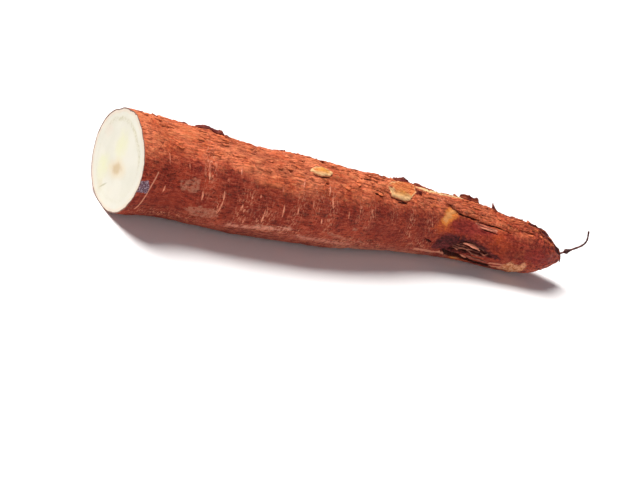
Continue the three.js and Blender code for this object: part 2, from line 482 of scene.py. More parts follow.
def cracks_at(x, angle):
    """All the drawn cracks together: 1 in a crack, 0 away from them."""
    deepest = slit(x, angle, LONG_CRACK, LONG_CRACK_WIDTH, LONG_CRACK_SEED)
    for i, (corners, width) in enumerate(CRACKS):
        deepest = np.maximum(deepest, slit(x, angle, corners, width, FIRST_CRACK_SEED + i))
    return deepest


# %% [markdown]
# ## Height of the bark
# All the reliefs add up to one height above the smooth body. It fades out at
# the very tip, where the rings shrink to a point.

# %% Height of the bark
# depths in mm, and the stretch before the tip over which the relief fades
SPLIT_DEPTH, CRACK_DEPTH = 0.7, 1.3
TIP_FADE = 5.0


def bark_height(x, angle):
    """Every relief added up, in mm."""
    height = swells(x, angle) + wrinkles(x, angle) + fibres(x, angle)
    height = height + fine_rings(x, angle) + scale_levels(x, angle) + tip_creases(x, angle)
    for outline, edge, rise, gap_depth, seed in LIFTED_BARK:
        height = height + lifted_edge(x, angle, outline, edge, rise, seed)
        height = height - gap_depth * undercut(x, angle, outline, edge, seed)
    height = height + swollen_lip(x, angle) + hanging_flap(x, angle)
    height = height - SPLIT_DEPTH * dry_cracks(x, angle) - CRACK_DEPTH * cracks_at(x, angle)
    for corners, width, _, depth, seed in SLITS:
        height = height - depth * slit(x, angle, corners, width, seed)
    height = height - torn_hollow(x, angle)
    return height * ease((ROOT_LENGTH - x) / TIP_FADE)


# %% [markdown]
# ## From a height to a place
# A point of the bark stands its radius plus its height away from the middle of
# the root. The knife went through a few degrees aslant, so the rings near the
# cut lean over with it, and the flat underside stops at the floor.

# %% From a height to a place
CUT_SLANT_Y = math.tan(math.radians(5.6))
CUT_SLANT_Z = math.tan(math.radians(0.8))
# the rings lean over this stretch, in mm
SLANT_REACH = 30.0


def bark_point(x, angle, height):
    """A point `height` mm above the smooth body, in metres. Rings near the
    cut lean over until the first one lies in the knife's slanted plane."""
    cx, cy, cz = centre_line(x)
    reach = np.maximum(body_radius(x) + height, 0)
    dy, dz = -reach * np.cos(angle), reach * np.sin(angle)
    lean = np.clip(1 - x / SLANT_REACH, 0, 1) * (CUT_SLANT_Y * dy + CUT_SLANT_Z * dz)
    return np.stack([cx - lean, cy + dy, np.maximum(cz + dz, 0)], axis=-1) * MM


# %% [markdown]
# ## The grid
# One grid covers the whole bark: rows run round the root, columns along it.
# Rows and columns stand closer where there is more to show: along the
# scarred half and on the front and the top.

# %% The grid
ROWS, COLUMNS = 500, 184
# the first column lies below and behind, where a seam would matter least
SEAM = math.radians(-125)
# at the tip the skin counts as no steeper than this: mm inwards for a mm along
STEEPEST = 30


def spaced(low, high, count, closeness):
    """`count` values from low to high, standing closer where `closeness` is
    greater: its running total is cut into equal parts."""
    fine = np.linspace(low, high, 20001)
    total = np.concatenate([[0], np.cumsum(closeness(fine[:-1]))])
    return np.interp(np.linspace(0, total[-1], count), total, fine)


def row_closeness(x):
    """Closer on the scarred half, which starts at 160 mm, within 13 mm of the
    cut and round the torn hollow, and following the skin down at the tip."""
    slope = np.gradient(body_radius(x), x[1] - x[0])
    scarred = 1 + 0.5 * ease((x - 160) / 12) + 0.5 * ease((13 - x) / 3)
    torn = 0.8 * ease((x - 222) / 8) * ease((282 - x) / 8)
    return (scarred + torn) * np.sqrt(1 + np.minimum(slope**2, STEEPEST**2))


def column_closeness(angle):
    """Closer on the front and the top than behind and below."""
    return 1 + 1.3 * ease(np.cos(angle - math.radians(40)) + 0.57)


row_x = spaced(0, ROOT_LENGTH, ROWS, row_closeness)
column_angle = spaced(SEAM, SEAM + 2 * math.pi, COLUMNS + 1, column_closeness)[:-1]
X, ANGLE = np.meshgrid(row_x[:-1], column_angle, indexing="ij")
HEIGHT = bark_height(X, ANGLE)
bark_points = bark_point(X, ANGLE, HEIGHT)
print("bark grid", X.shape, "relief from", HEIGHT.min().round(2), "to", HEIGHT.max().round(2), "mm")

# %% [markdown]
# ## The knife face
# The knife left a flat face. It is a set of rings that shrink from the bark's
# first ring to the middle of the cut, all in the knife's plane. Stacked before
# the bark's rings they make one grid from the middle of the cut to the tip, so
# the root is a single closed skin, as the real one is a single thing.

# %% The knife face
FACE_SHARES = np.concatenate([np.linspace(0.04, 0.93, 22), [0.96, 0.98, 0.993]])
centre_of_cut = np.stack(centre_line(np.array(0.0))) * MM
face_points = centre_of_cut + FACE_SHARES[:, None, None] * (bark_points[0] - centre_of_cut)
rings = np.concatenate([face_points, bark_points])
FACE_RINGS, RINGS = len(face_points), len(rings)
tip_point = bark_point(np.array(ROOT_LENGTH), np.array(0.0), 0.0)
root_points = np.concatenate([rings.reshape(-1, 3), [centre_of_cut], [tip_point]])
print("rings", RINGS, "of", COLUMNS, "points,", FACE_RINGS, "of them on the knife face")

# %% [markdown]
# ## Faces between the rings
# Four neighbours on the grid make a quad, taken in the order that turns it
# outwards. At each end a fan of triangles closes the last small ring onto one
# point. The corners are kept as row and column, because the unrolled map below
# needs them again.


# %% Faces between the rings
def grid_corners(rows, columns):
    """The row and the column of each quad's four corners, going round so
    that the quad faces out. The last column is the first one met again."""
    row, column = np.meshgrid(np.arange(rows - 1), np.arange(columns), indexing="ij")
    corner_rows = np.stack([row, row + 1, row + 1, row], -1).reshape(-1, 4)
    corner_columns = np.stack([column, column, column + 1, column + 1], -1).reshape(-1, 4)
    return corner_rows, corner_columns


quad_rows, quad_columns = grid_corners(RINGS, COLUMNS)
quads = quad_rows * COLUMNS + quad_columns % COLUMNS
around = np.arange(COLUMNS)
centre_index, tip_index = RINGS * COLUMNS, RINGS * COLUMNS + 1
centre_fan = np.stack([around, around + 1, np.full(COLUMNS, -1)], -1)
tip_fan = np.stack([around + 1, around, np.full(COLUMNS, -1)], -1)


def fan_points(fan, ring, pole):
    """Turns a fan's columns into point numbers, with its pole for each -1."""
    return np.where(fan < 0, pole, ring * COLUMNS + fan % COLUMNS)


root_faces = [
    quads,
    fan_points(centre_fan, 0, centre_index),
    fan_points(tip_fan, RINGS - 1, tip_index),
]
print("faces", sum(len(block) for block in root_faces))

# %% [markdown]
# ## From arrays to a mesh
# `foreach_set` copies a whole array into a mesh at once, which is thousands of
# times faster than a loop. Numbers that the paint needs later, such as how
# old the bark is, are stored as attributes, one value a point.


# %% From arrays to a mesh
def make_piece(name, points, faces):
    """A smooth mesh object from points in metres and arrays of faces."""
    mesh = bpy.data.meshes.new(name)
    sides = np.concatenate([np.full(len(block), block.shape[1]) for block in faces])
    corners = np.concatenate([block.ravel() for block in faces])
    mesh.vertices.add(len(points))
    mesh.vertices.foreach_set("co", points.astype(np.float32).ravel())
    mesh.loops.add(len(corners))
    mesh.loops.foreach_set("vertex_index", corners.astype(np.int32))
    mesh.polygons.add(len(sides))
    starts = np.cumsum(sides) - sides
    mesh.polygons.foreach_set("loop_start", starts.astype(np.int32))
    mesh.polygons.foreach_set("use_smooth", np.ones(len(sides), bool))
    mesh.update(calc_edges=True)
    piece = bpy.data.objects.new(name, mesh)
    bpy.context.collection.objects.link(piece)
    mesh.calc_loop_triangles()
    print(name, len(points), "points", len(mesh.loop_triangles), "triangles")
    return piece


def store(piece, name, values):
    """One number a point, kept in the mesh for the paint to read."""
    layer = piece.data.attributes.new(name, "FLOAT", "POINT")
    layer.data.foreach_set("value", np.asarray(values, np.float32).ravel())


def signed_volume(piece):
    """The volume inside a closed mesh, negative if it is inside out: each
    triangle and the origin span a small wedge, and the wedges add up."""
    mesh = piece.data
    mesh.calc_loop_triangles()
    corners = np.empty(len(mesh.loop_triangles) * 3, np.int32)
    mesh.loop_triangles.foreach_get("vertices", corners)
    places = np.empty(len(mesh.vertices) * 3, np.float32)
    mesh.vertices.foreach_get("co", places)
    a, b, c = places.reshape(-1, 3).astype(float)[corners.reshape(-1, 3)].transpose(1, 0, 2)
    return float((np.cross(a, b) * c).sum() / 6)


# in cubic metres
CUBIC_CM, CUBIC_MM = 1e-6, 1e-9
root = make_piece("cassava_root_skin", root_points, root_faces)
print("root volume", round(signed_volume(root) / CUBIC_CM, 1), "cubic cm")

# %% [markdown]
# ## Unrolling the skin
# The paint here needs no flat map, because noise can be read in space. The
# root brings one all the same, so that its colours can be copied to a picture
# later: the bark unrolls to a rectangle, the knife face to a disc above it.

# %% The unrolled map
# on a square with sides of 1: the top of the bark's rectangle, its free
# border, and the disc of the knife face
MAP_BARK_TOP, MAP_BORDER = 0.54, 0.004
DISC_CENTRE, DISC_RADIUS = (0.24, 0.77), 0.22
bark_share = np.linspace(0, 1, RINGS - FACE_RINGS)
ring_angle = np.append(column_angle, column_angle[0] + 2 * math.pi)


def bark_map(rows, columns):
    """Distance along the root across the map, turn round the root up it."""
    along = np.clip(rows - FACE_RINGS, 0, len(bark_share) - 1)
    across = MAP_BORDER + (1 - 2 * MAP_BORDER) * bark_share[along]
    up = MAP_BORDER + (MAP_BARK_TOP - 2 * MAP_BORDER) * columns / COLUMNS
    return np.stack([across, up], -1)


def face_map(rows, columns):
    """The knife face seen straight on."""
    share = np.append(FACE_SHARES, 1.0)[np.clip(rows, 0, FACE_RINGS)] * DISC_RADIUS
    turn = ring_angle[columns]
    across = DISC_CENTRE[0] + share * np.cos(turn)
    return np.stack([across, DISC_CENTRE[1] + share * np.sin(turn)], -1)


on_face = quad_rows[:, :1] < FACE_RINGS
quad_map = np.where(
    on_face[..., None],
    face_map(quad_rows, quad_columns),
    bark_map(quad_rows, quad_columns),
)
centre_rows = np.zeros_like(centre_fan)
centre_map = face_map(centre_rows, np.clip(centre_fan, 0, COLUMNS))
centre_map[centre_fan < 0] = DISC_CENTRE
tip_map = bark_map(np.full_like(tip_fan, RINGS - 1), np.clip(tip_fan, 0, COLUMNS))
tip_map[:, 2, 0] = 1 - MAP_BORDER / 4
tip_map[:, 2, 1] = tip_map[:, 1, 1]
unrolled_map = root.data.uv_layers.new(name="OFBake")
corner_map = np.concatenate([m.reshape(-1, 2) for m in (quad_map, centre_map, tip_map)])
unrolled_map.data.foreach_set("uv", corner_map.astype(np.float32).ravel())
print("map corners", len(corner_map))

# %% [markdown]
# ## Which material goes where
# The root is one piece with two finishes. Every face has a number that says
# which of the piece's materials it wears: bark, or flesh on the knife face.

# %% Which material goes where
BARK_SLOT, FLESH_SLOT = 0, 1
slots = np.concatenate(
    [
        np.where(quad_rows[:, 0] < FACE_RINGS, FLESH_SLOT, BARK_SLOT),
        np.full(COLUMNS, FLESH_SLOT),
        np.full(COLUMNS, BARK_SLOT),
    ]
)
root.data.polygons.foreach_set("material_index", slots.astype(np.int32))
print("faces of flesh", int((slots == FLESH_SLOT).sum()))

# %% [markdown]
# ## A crisp cut edge
# Smooth shading would melt the flat face into the bark. Marking the ring of
# edges between them as sharp keeps each side's own shading.

# %% A crisp cut edge
edge_ends = np.empty(len(root.data.edges) * 2, np.int32)
root.data.edges.foreach_get("vertices", edge_ends)
# points are numbered ring by ring, so this is the ring of each edge's two ends
edge_rings = edge_ends.reshape(-1, 2) // COLUMNS
sharp = (edge_rings == FACE_RINGS).all(axis=1)
sharp_edges = root.data.attributes.new("sharp_edge", "BOOLEAN", "EDGE")
sharp_edges.data.foreach_set("value", sharp)
print("sharp edges:", int(sharp.sum()))

# %% [markdown]
# ## What the paint needs to know
# A mask painted straight on the points would be as coarse as the grid. A
# distance is better: it changes evenly from point to point, and the paint can
# cut it anywhere, with a crisp or ragged edge of its own.

# %% Tools for the paint's numbers
# at this distance, in mm or in widths of a line, a mark no longer matters
FAR = 8.0


def deepest(x, angle, outlines, ragged, seed):
    """How far inside the nearest of several outlines, in mm."""
    depths = [patch_depth(x, angle, c, ragged, seed + i) for i, c in enumerate(outlines)]
    return np.clip(np.max(depths, axis=0), -FAR, FAR)


def bells(x, angle, table):
    """The greatest of several soft spots, each a bell along and round."""
    heights = [
        np.exp(-(((x - at) / reach) ** 2) - ((np.degrees(angle) - turn) / wide) ** 2)
        for at, turn, reach, wide in table
    ]
    return np.max(heights, axis=0)


def on_the_bark(values):
    """Values for the bark's grid, with zeros on the knife face and the last
    ring's value on the tip."""
    face = np.zeros((FACE_RINGS, COLUMNS))
    return np.concatenate([face.ravel(), values.ravel(), [0.0, values[-1, 0]]])


# %% [markdown]
# ## Where the marks lie
# These outlines and lines only matter to the paint. Flesh shows where bark and
# rind have come off, the skin is plum or wine red where it is bruised or young,
# and it is pale where it was rubbed or scratched.

# %% Outlines for the paint
STRIPPED_STRIP = [
    (201.5, 108), (203.5, 99), (213, 95.5), (224, 96), (236, 100), (246, 105),
    (246, 110), (234, 112), (222, 111), (212, 110),
]
YELLOW_SCAR = [
    (213.5, 20), (216, 31), (219, 42), (221.5, 50), (223.5, 62), (227.5, 63),
    (231, 56), (235, 50), (233, 45), (228.5, 41), (226, 29), (227, 19), (219, 14),
]
ORANGE_CHIP = [(237, -37), (244, -40), (250, -43), (257, -47), (260, -55), (252, -60), (244, -54)]
TAN_PATCH = [
    (279.6, -20), (283.6, -11), (287, -14), (289.8, -18), (293, -8), (296, -20),
    (297, -38), (292.4, -50), (287.6, -50), (280, -44),
]
PLUM_BAND = [
    (220, -19), (218, -14), (218.5, 4), (221.4, 10), (226, 16), (230.4, 17), (237, 13),
    (247.3, 14), (253, 12), (258, 7), (262, 2), (270, -3), (273, -9), (266, -13),
    (252, -17), (243, -20), (235, -21), (228, -22),
]
TIP_EDGE = [
    (268, 106), (284, 107), (292, 101), (297, 94), (301, 89), (305, 82), (309.5, 74),
    (314, 67), (318, 57), (320.5, 46), (322.5, 34), (331, 40), (331, 110), (304, 128), (268, 124),
]
WINE_SKIN = [
    (227, 38), (236, 49), (247, 48), (262, 46), (268, 38), (256, 28), (246, 20), (232, 20),
]
TIP_BRUISE = [(288, 24), (300, 27), (313, 19), (321, 4), (313, -9), (300, -7), (290, 6)]
CUT_BRUISE = [(-1, 10), (4.7, 12), (7.2, 4), (7.2, -3), (-1, -4)]
RUBBED = [
    [(25.9, 20), (38.4, 24.5), (40.3, 10), (37, 6), (29.4, 8)],
    [(35.1, -14), (44, -8), (54.1, -6), (56.5, -16), (49, -24), (41, -24)],
    [(78, -22), (84, -17), (104, -14), (107, -17), (93, -22), (82, -25)],
    [(131, -10), (140, -14), (151, -21), (149, -25), (138, -19), (130, -14)],
    [(146, 2), (151, 1), (150, -3), (146, -2)],
    [(157, -24), (166, -26), (163, -30)],
]
# corners of each pale scratch or thin torn edge, and its width
PALE_LINES = [
    ([(10.4, 23), (8.3, 10), (7.4, -1), (7.1, -18), (6.4, -31)], 0.5),
    ([(206, -25), (215, -27), (222, -28.5), (228, -26), (233, -29), (237, -35)], 1.1),
    ([(249, 44.5), (257, 43.5), (266, 45)], 0.8),
    ([(251, 39.5), (258, 40.5), (265, 42)], 1.0),
    ([(270, -29), (276, -26), (281, -24)], 1.0),
    ([(271, -41), (277, -39), (282, -41)], 1.2),
]
# corners of the broad pale scuffs along the lower edge, and their width; the last,
# along the very edge, is painted bounce light from the floor as well as scuffing
SCUFFS_AND_BOUNCE_LIGHT = [
    ([(66, -27), (79, -24), (86, -22), (94, -20), (103, -16)], 1.8),
    ([(112, -27), (120, -32), (129, -30), (142, -33), (153, -33)], 1.6),
    ([(146, -47), (168, -49), (192, -47), (212, -45)], 3.2),
]
print(len(RUBBED), "rubbed places", len(PALE_LINES), "scratches", len(SCUFFS_AND_BOUNCE_LIGHT), "scuffs")

# %% [markdown]
# ## Soft spots
# Some changes have no outline: the skin is flecked here, darker there, and one
# place glows orange. Across the middle of the front flank the darker places are
# painted shade. Each is a soft spot, given by its middle and by its reach both
# ways.

# %% Soft spots
# distance along the root, angle, reach along it, reach round it in degrees
FLECKED = [
    (44, 50, 4, 40), (54, 0, 3, 22), (69, 5, 5, 30), (84, -8, 7, 24), (103, 18, 4, 34),
    (116, 34, 4, 26), (127, 22, 4, 42), (148, 30, 3, 22), (157, 22, 4, 24), (176, 34, 3.5, 18),
    (193, 20, 3.5, 40), (206, -16, 10, 16), (212, 28, 7, 18), (96, -24, 30, 10), (150, -26, 24, 12),
    (30, -36, 34, 12), (106, -23, 16, 11), (132, -31, 20, 11), (166, -30, 20, 9),
    (152, -46, 24, 9), (186, -47, 24, 9), (252, 58, 14, 9), (222, 76, 12, 14), (309, 74, 8, 8),
]
# places where the bark is darker, in the same terms: painted shade across the
# middle of the front flank, the skin's own darker tone elsewhere
DARKER_SKIN_AND_SHADE = [
    (20, -16, 24, 18), (70, -6, 32, 16), (166, 2, 12, 14), (285, 5, 17, 18),
    (75, 80, 14, 10), (300, 34, 10, 14),
]
# the brightest yellow places of the bared inner bark, in the same terms
BRIGHT = [
    (228, 56, 4.4, 6), (224.5, 48, 4.4, 9), (222, 40, 3.2, 8), (246, -44, 3.5, 4),
    (121, 77, 7, 8), (186, 66, 9, 8),
]
# middle of the orange glow, and how far it reaches in mm
GLOW_MIDDLE, GLOW_REACH = (267, 22), 13.0
glow_across = (ANGLE - math.radians(GLOW_MIDDLE[1])) * body_radius(X)
glow_away = np.hypot(X - GLOW_MIDDLE[0], glow_across)
print("soft spots:", len(FLECKED) + len(DARKER_SKIN_AND_SHADE) + len(BRIGHT) + 1)

# %% [markdown]
# ## The numbers are stored
# Everything is worked out on the bark's grid and stored on the points under a
# name. Names that end in _mm hold millimetres, and most of those are distances
# inside an outline, negative outside it.

# %% Numbers for the paint
# the scar's pale rim is narrower than the plate's, so its distance counts more;
# past RIM_FAR mm neither matters
SCAR_RIM, RIM_FAR = 1.8, 12.0
# how much lower a split counts in the relief that shades the bark
SPLIT_SHADE = 0.9
# the tip's creased skin comes in from here, over this length
TIP_SKIN_START, TIP_SKIN_REACH = 272, 36
# bark is more brittle towards the tip: its share near the cut, and the stretch
# over which it grows to 1
BRITTLE_LEAST, BRITTLE_START, BRITTLE_REACH = 0.4, 150, 90


def widths_away(lines):
    """Distance to the nearest of several lines, counted in their widths."""
    away = [line_distance(X, ANGLE, corners)[0] / width for corners, width in lines]
    return np.minimum(np.min(away, axis=0), FAR)


rim_away = np.minimum(
    line_distance(X, ANGLE, PLATE_EDGE)[0],
    SCAR_RIM * line_distance(X, ANGLE, SCAR_EDGE)[0],
)
# painted shade: the drawn cracks, the slits, painted wider than their grooves, and the gaps beside the
# lifted plates are painted near-black as their shade
splits = cracks_at(X, ANGLE)
for corners, _, paint_width, _, seed in SLITS:
    splits = np.maximum(splits, slit(X, ANGLE, corners, paint_width, seed))
for outline, edge, _, _, seed in LIFTED_BARK:
    splits = np.maximum(splits, undercut(X, ANGLE, outline, edge, seed))
# the relief of scales, fibres, rings, creases and splits; the paint darkens its low places as painted
# shade and lightens its high places as painted highlight
relief = scale_levels(X, ANGLE) + fibres(X, ANGLE) + fine_rings(X, ANGLE)
relief = relief + tip_creases(X, ANGLE) - SPLIT_SHADE * dry_cracks(X, ANGLE)
# dust and painted bounce light from the floor lie on the lower side, 12 to 72 degrees down, and not
# close to the cut
degrees = np.degrees(ANGLE)
dust_and_bounce_light = ease((-12 - degrees) / 26) * ease((degrees + 72) / 14) * ease((X - 8) / 80)
brittle = BRITTLE_LEAST + (1 - BRITTLE_LEAST) * ease((X - BRITTLE_START) / BRITTLE_REACH)
# the last number of each outline is the seed of its ragged edge
paint_numbers = {
    "old_bark": old_bark(X, ANGLE),
    "relief_mm": relief,
    "painted_split_shade": splits,
    "cream_mm": patch_depth(X, ANGLE, STRIPPED_STRIP, 0.6, 130),
    "tan_mm": patch_depth(X, ANGLE, TAN_PATCH, 1.5, 135),
    "amber_mm": deepest(X, ANGLE, [YELLOW_SCAR, ORANGE_CHIP], 1.0, 140),
    "bright": bells(X, ANGLE, BRIGHT),
    "plate_mm": deepest(X, ANGLE, [PLATE, SCAR], 0.5, PLATE_SEED),
    "lip_mm": np.minimum(rim_away, RIM_FAR),
    "plum_mm": deepest(X, ANGLE, [PLUM_BAND, TIP_EDGE], 1.2, 150),
    "wine_mm": deepest(X, ANGLE, [WINE_SKIN, TIP_BRUISE], 1.0, 155),
    "hollow_mm": patch_depth(X, ANGLE, HOLLOW, 1.0, HOLLOW_SEED),
    "rubbed_mm": deepest(X, ANGLE, RUBBED, 1.0, 120),
    "scratched": widths_away(PALE_LINES),
    "scuffed_and_bounce_lit": widths_away(SCUFFS_AND_BOUNCE_LIGHT),
    "bruise_mm": patch_depth(X, ANGLE, CUT_BRUISE, 0.5, 160),
    "flecked": bells(X, ANGLE, FLECKED),
    "darker_skin_and_shade": bells(X, ANGLE, DARKER_SKIN_AND_SHADE),
    "glow": ease(1 - glow_away / GLOW_REACH),
    "tip": ease((X - TIP_SKIN_START) / TIP_SKIN_REACH),
    "dust_and_bounce_light": dust_and_bounce_light,
    "brittle": brittle,
}
for name, values in paint_numbers.items():
    store(root, name, on_the_bark(values))
# on the knife face, the distance in from its edge; its middle is far inside
rim_gap = (1 - FACE_SHARES[:, None]) * (body_radius(np.array(0.0)) + HEIGHT[:1])
rim_values = np.concatenate([rim_gap.ravel(), np.zeros(HEIGHT.size), [30.0, 0.0]])
store(root, "rim_mm", rim_values)
print("stored", len(root.data.attributes), "attributes")
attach(root, "root")
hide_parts("cassava_root")

# %% [markdown]
# ## Loose chips of bark
# Dry bark comes off in chips: one edge still holds and the other curls up.
# Each chip is a small sheet. Going from the held edge to the free one, its
# slope grows, and adding up short steps at that slope gives a curl, just as a
# strip of paper rolls. The same few lines make every chip from its numbers.


# %% Chips of bark
def chip_shapes(table, rows, steps, seed, torn=0.08, taper=0.5):
    """Points of all chips at once, as (chip, row, step round, xyz), in metres.
    Columns of the table: distance along the root, degrees round it, length,
    width, curl in degrees, side of the free edge (1 up, -1 down), thickness,
    gap under the held edge, how much more the far end curls than the near
    end, and how far the free edge narrows to a point."""
    chips = np.array(table, float)[:, :, None, None]
    x, degrees, length, width, curl, side, thick, gap, lean, point = chips.swapaxes(0, 1)
    random = np.random.default_rng(seed)
    u = np.linspace(-1, 1, rows)[None, :, None]
    v = np.linspace(0, 1, steps)[None, None, :]
    ragged = random.uniform(-1, 1, (len(table), rows, 1))
    ends = random.uniform(-1, 1, (len(table), 1, steps))
    reach = width * (1 - taper * np.abs(u) ** 4 + torn * 2 * ragged)
    slope = np.radians(curl) * (0.15 + 0.85 * v**1.3) * (1 + torn * ragged + lean * u)
    step = reach / (steps - 1)
    aside = np.cumsum(np.cos(slope) * step, axis=-1) - np.cos(slope[..., :1]) * step
    up = np.cumsum(np.sin(slope) * step, axis=-1) - np.sin(slope[..., :1]) * step
    along = x + length / 2 * u * (1 - np.maximum(point, 0.12) * v + torn * ends)
    radius = body_radius(x)
    held = np.broadcast_to(np.radians(degrees), along.shape)
    thickness = thick * (1 - 0.45 * u**2) * (1 - 0.35 * v)

    def placed(offset):
        """One side of every chip, this many mm off its middle layer."""
        sideways = aside - np.sin(slope) * offset
        angle = held + side * sideways / radius
        base = np.maximum(bark_height(along, held), bark_height(along, angle) - 0.6 * v)
        return bark_point(along, angle, base + gap * (1 - 0.5 * v) + up + np.cos(slope) * offset)

    top, bottom = placed(thickness / 2), placed(-thickness / 2)
    return np.concatenate([top, bottom[:, :, ::-1]], axis=2)


# %% [markdown]
# ## Closing many strips at once
# A chip or a sliver is a strip: a ring of points carried along, closed at both
# ends. All copies have the same faces, shifted by the number of points before
# them. A copy that was built towards its other side comes out inside out, so
# its faces are turned over.


# %% Closing many strips at once
def closed_strips(shapes):
    """Faces for many copies of one closed strip: quads round and along each,
    and a row of quads across both of its ends."""
    count, rows, loop = shapes.shape[:3]
    corner_rows, corner_columns = grid_corners(rows, loop)
    skin = corner_rows * loop + corner_columns % loop
    half = loop // 2
    a = np.arange(half - 1)
    start_end = np.stack([a, a + 1, loop - 2 - a, loop - 1 - a], -1)
    far_end = start_end[:, ::-1] + (rows - 1) * loop
    one = np.concatenate([skin, start_end, far_end])
    offsets = np.arange(count)[:, None, None] * rows * loop
    return (one[None] + offsets).reshape(-1, 4)


def outward(shapes, faces):
    """The same faces, each copy turned over if its volume came out negative."""
    points = shapes.reshape(-1, 3)
    a, b, c, d = points[faces].transpose(1, 0, 2)
    wedges = (np.cross(a, b) * c).sum(-1) + (np.cross(a, c) * d).sum(-1)
    inside_out = wedges.reshape(len(shapes), -1).sum(axis=1) < 0
    turned_over = np.repeat(inside_out, len(faces) // len(shapes))[:, None]
    return np.where(turned_over, faces[:, ::-1], faces)


# %% [markdown]
# ## Large chips
# Twenty large chips have places of their own, most of them along the top, where
# they stand out against the background, and a few behind.

# %% Large chips
# along, degrees, length, width, curl, side, thickness, gap, lean, point, tone
# the darkest tones, given to the chips along the top, are partly the bark's own dark and partly
# painted shade on their undersides
BIG_CHIPS = [
    (50.0, 109, 16.5, 4.4, 40, 1, 0.80, 0.20, 0.35, 0.1, 0.02),
    (57.5, 109, 4.0, 4.4, 56, 1, 1.00, 0.25, 0.20, 0.1, 0.02),
    (62.0, 110, 3.5, 2.2, 35, 1, 0.70, 0.10, 0.00, 0.3, 0.10),
    (35.8, 112, 3.4, 2.0, 32, 1, 0.60, 0.10, 0.00, 0.3, 0.15),
    (192.5, 110, 14.0, 4.2, 62, 1, 0.70, 0.20, 0.50, 0.1, 0.12),
    (213.5, 113, 20.0, 3.4, 52, 1, 0.60, 0.10, -0.40, 0.1, 0.20),
    (241.0, 111, 4.0, 2.6, 50, 1, 0.60, 0.10, 0.00, 0.3, 0.25),
    (251.0, 108, 15.0, 3.9, 105, 1, 0.80, 0.10, 0.15, 0.1, 0.12),
    (257.6, 108, 3.2, 3.8, 100, 1, 1.00, 0.15, 0.10, 0.1, 0.02),
    (271.5, 105, 6.6, 6.2, 84, 1, 0.90, 0.05, 0.00, 0.85, 0.05),
    (200.5, 77, 5.5, 2.3, 95, 1, 0.50, 0.05, 0.30, 0.2, 0.08),
    (174.0, 79, 6.0, 2.6, 26, -1, 0.45, 0.10, 0.00, 0.3, 0.70),
    (226.0, 76, 9.0, 3.0, 40, -1, 0.50, 0.10, 0.20, 0.3, 0.35),
    (330.2, 8, 3.0, 2.4, 70, -1, 0.60, 0.05, 0.00, 0.6, 0.05),
    (329.0, 66, 4.0, 2.6, 55, 1, 0.60, 0.05, 0.00, 0.4, 0.10),
    (316.0, 98, 7.0, 2.6, 34, 1, 0.50, 0.10, 0.20, 0.3, 0.25),
    (300.0, 102, 8.0, 2.6, 30, 1, 0.50, 0.10, 0.20, 0.3, 0.35),
    (140.0, 150, 14.0, 4.0, 48, 1, 0.60, 0.15, 0.30, 0.2, 0.30),
    (88.0, 166, 11.0, 3.6, 70, 1, 0.60, 0.15, -0.30, 0.2, 0.25),
    (232.0, 158, 16.0, 4.2, 95, 1, 0.60, 0.15, 0.20, 0.2, 0.30),
]
big_table = np.array(BIG_CHIPS)
big_shapes = chip_shapes(big_table[:, :10], rows=13, steps=9, seed=201, torn=0.05)
big_faces = outward(big_shapes, closed_strips(big_shapes))
print("large chips", len(big_shapes))

# %% [markdown]
# ## Small chips
# Hundreds of small chips are scattered over the old bark at random. On bared
# flesh they would look wrong, so none are laid there. Both kinds become one
# piece, and each chip carries a tone from dark to light.

# %% Small chips
SMALL_COUNT = 420
pick = np.random.default_rng(202)
# the first ten columns again, drawn at random
small_chips = np.column_stack(
    [
        pick.uniform(6, 324, SMALL_COUNT),
        np.clip(pick.normal(104, 30, SMALL_COUNT), 58, 172),
        pick.uniform(2.6, 8.5, SMALL_COUNT),
        pick.uniform(0.7, 1.7, SMALL_COUNT),
        pick.uniform(8, 34, SMALL_COUNT),
        pick.choice([-1, 1], SMALL_COUNT),
        pick.uniform(0.25, 0.45, SMALL_COUNT),
        pick.uniform(0.0, 0.08, SMALL_COUNT),
        pick.uniform(-0.4, 0.4, SMALL_COUNT),
        pick.uniform(0.1, 0.6, SMALL_COUNT),
    ]
)
BARE = [PLATE, SCAR, STRIPPED_STRIP, YELLOW_SCAR]
# no small chip has its middle nearer than this to a bare place, in mm
KEEP_OFF = 2.0
chip_x, chip_angle = small_chips[:, 0], np.radians(small_chips[:, 1])
bare_depths = [patch_depth(chip_x, chip_angle, corners) for corners in BARE]
small_chips = small_chips[np.max(bare_depths, axis=0) <= -KEEP_OFF]
small_shapes = chip_shapes(small_chips, rows=7, steps=4, seed=203, torn=0.16, taper=0.72)
small_faces = outward(small_shapes, closed_strips(small_shapes))
chips = make_piece(
    "loose_bark_chips",
    np.concatenate([big_shapes.reshape(-1, 3), small_shapes.reshape(-1, 3)]),
    [np.concatenate([big_faces, small_faces + big_shapes[..., 0].size])],
)
small_tones = pick.uniform(0.35, 0.9, len(small_chips))
tones = np.concatenate(
    [
        np.repeat(big_table[:, 10], big_shapes[0, ..., 0].size),
        np.repeat(small_tones, small_shapes[0, ..., 0].size),
    ]
)
store(chips, "tone", tones)
print("small chips", len(small_chips))
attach(chips, "root")

# %% [markdown]
# ## Breathing pores and splinters
# Short pale ridges cross the skin: corky pores, called lenticels. In the torn
# hollow stiff fibres were left lying. Both are slivers: a path between two
# places on the bark, wrapped in an oval that thins out to both ends.


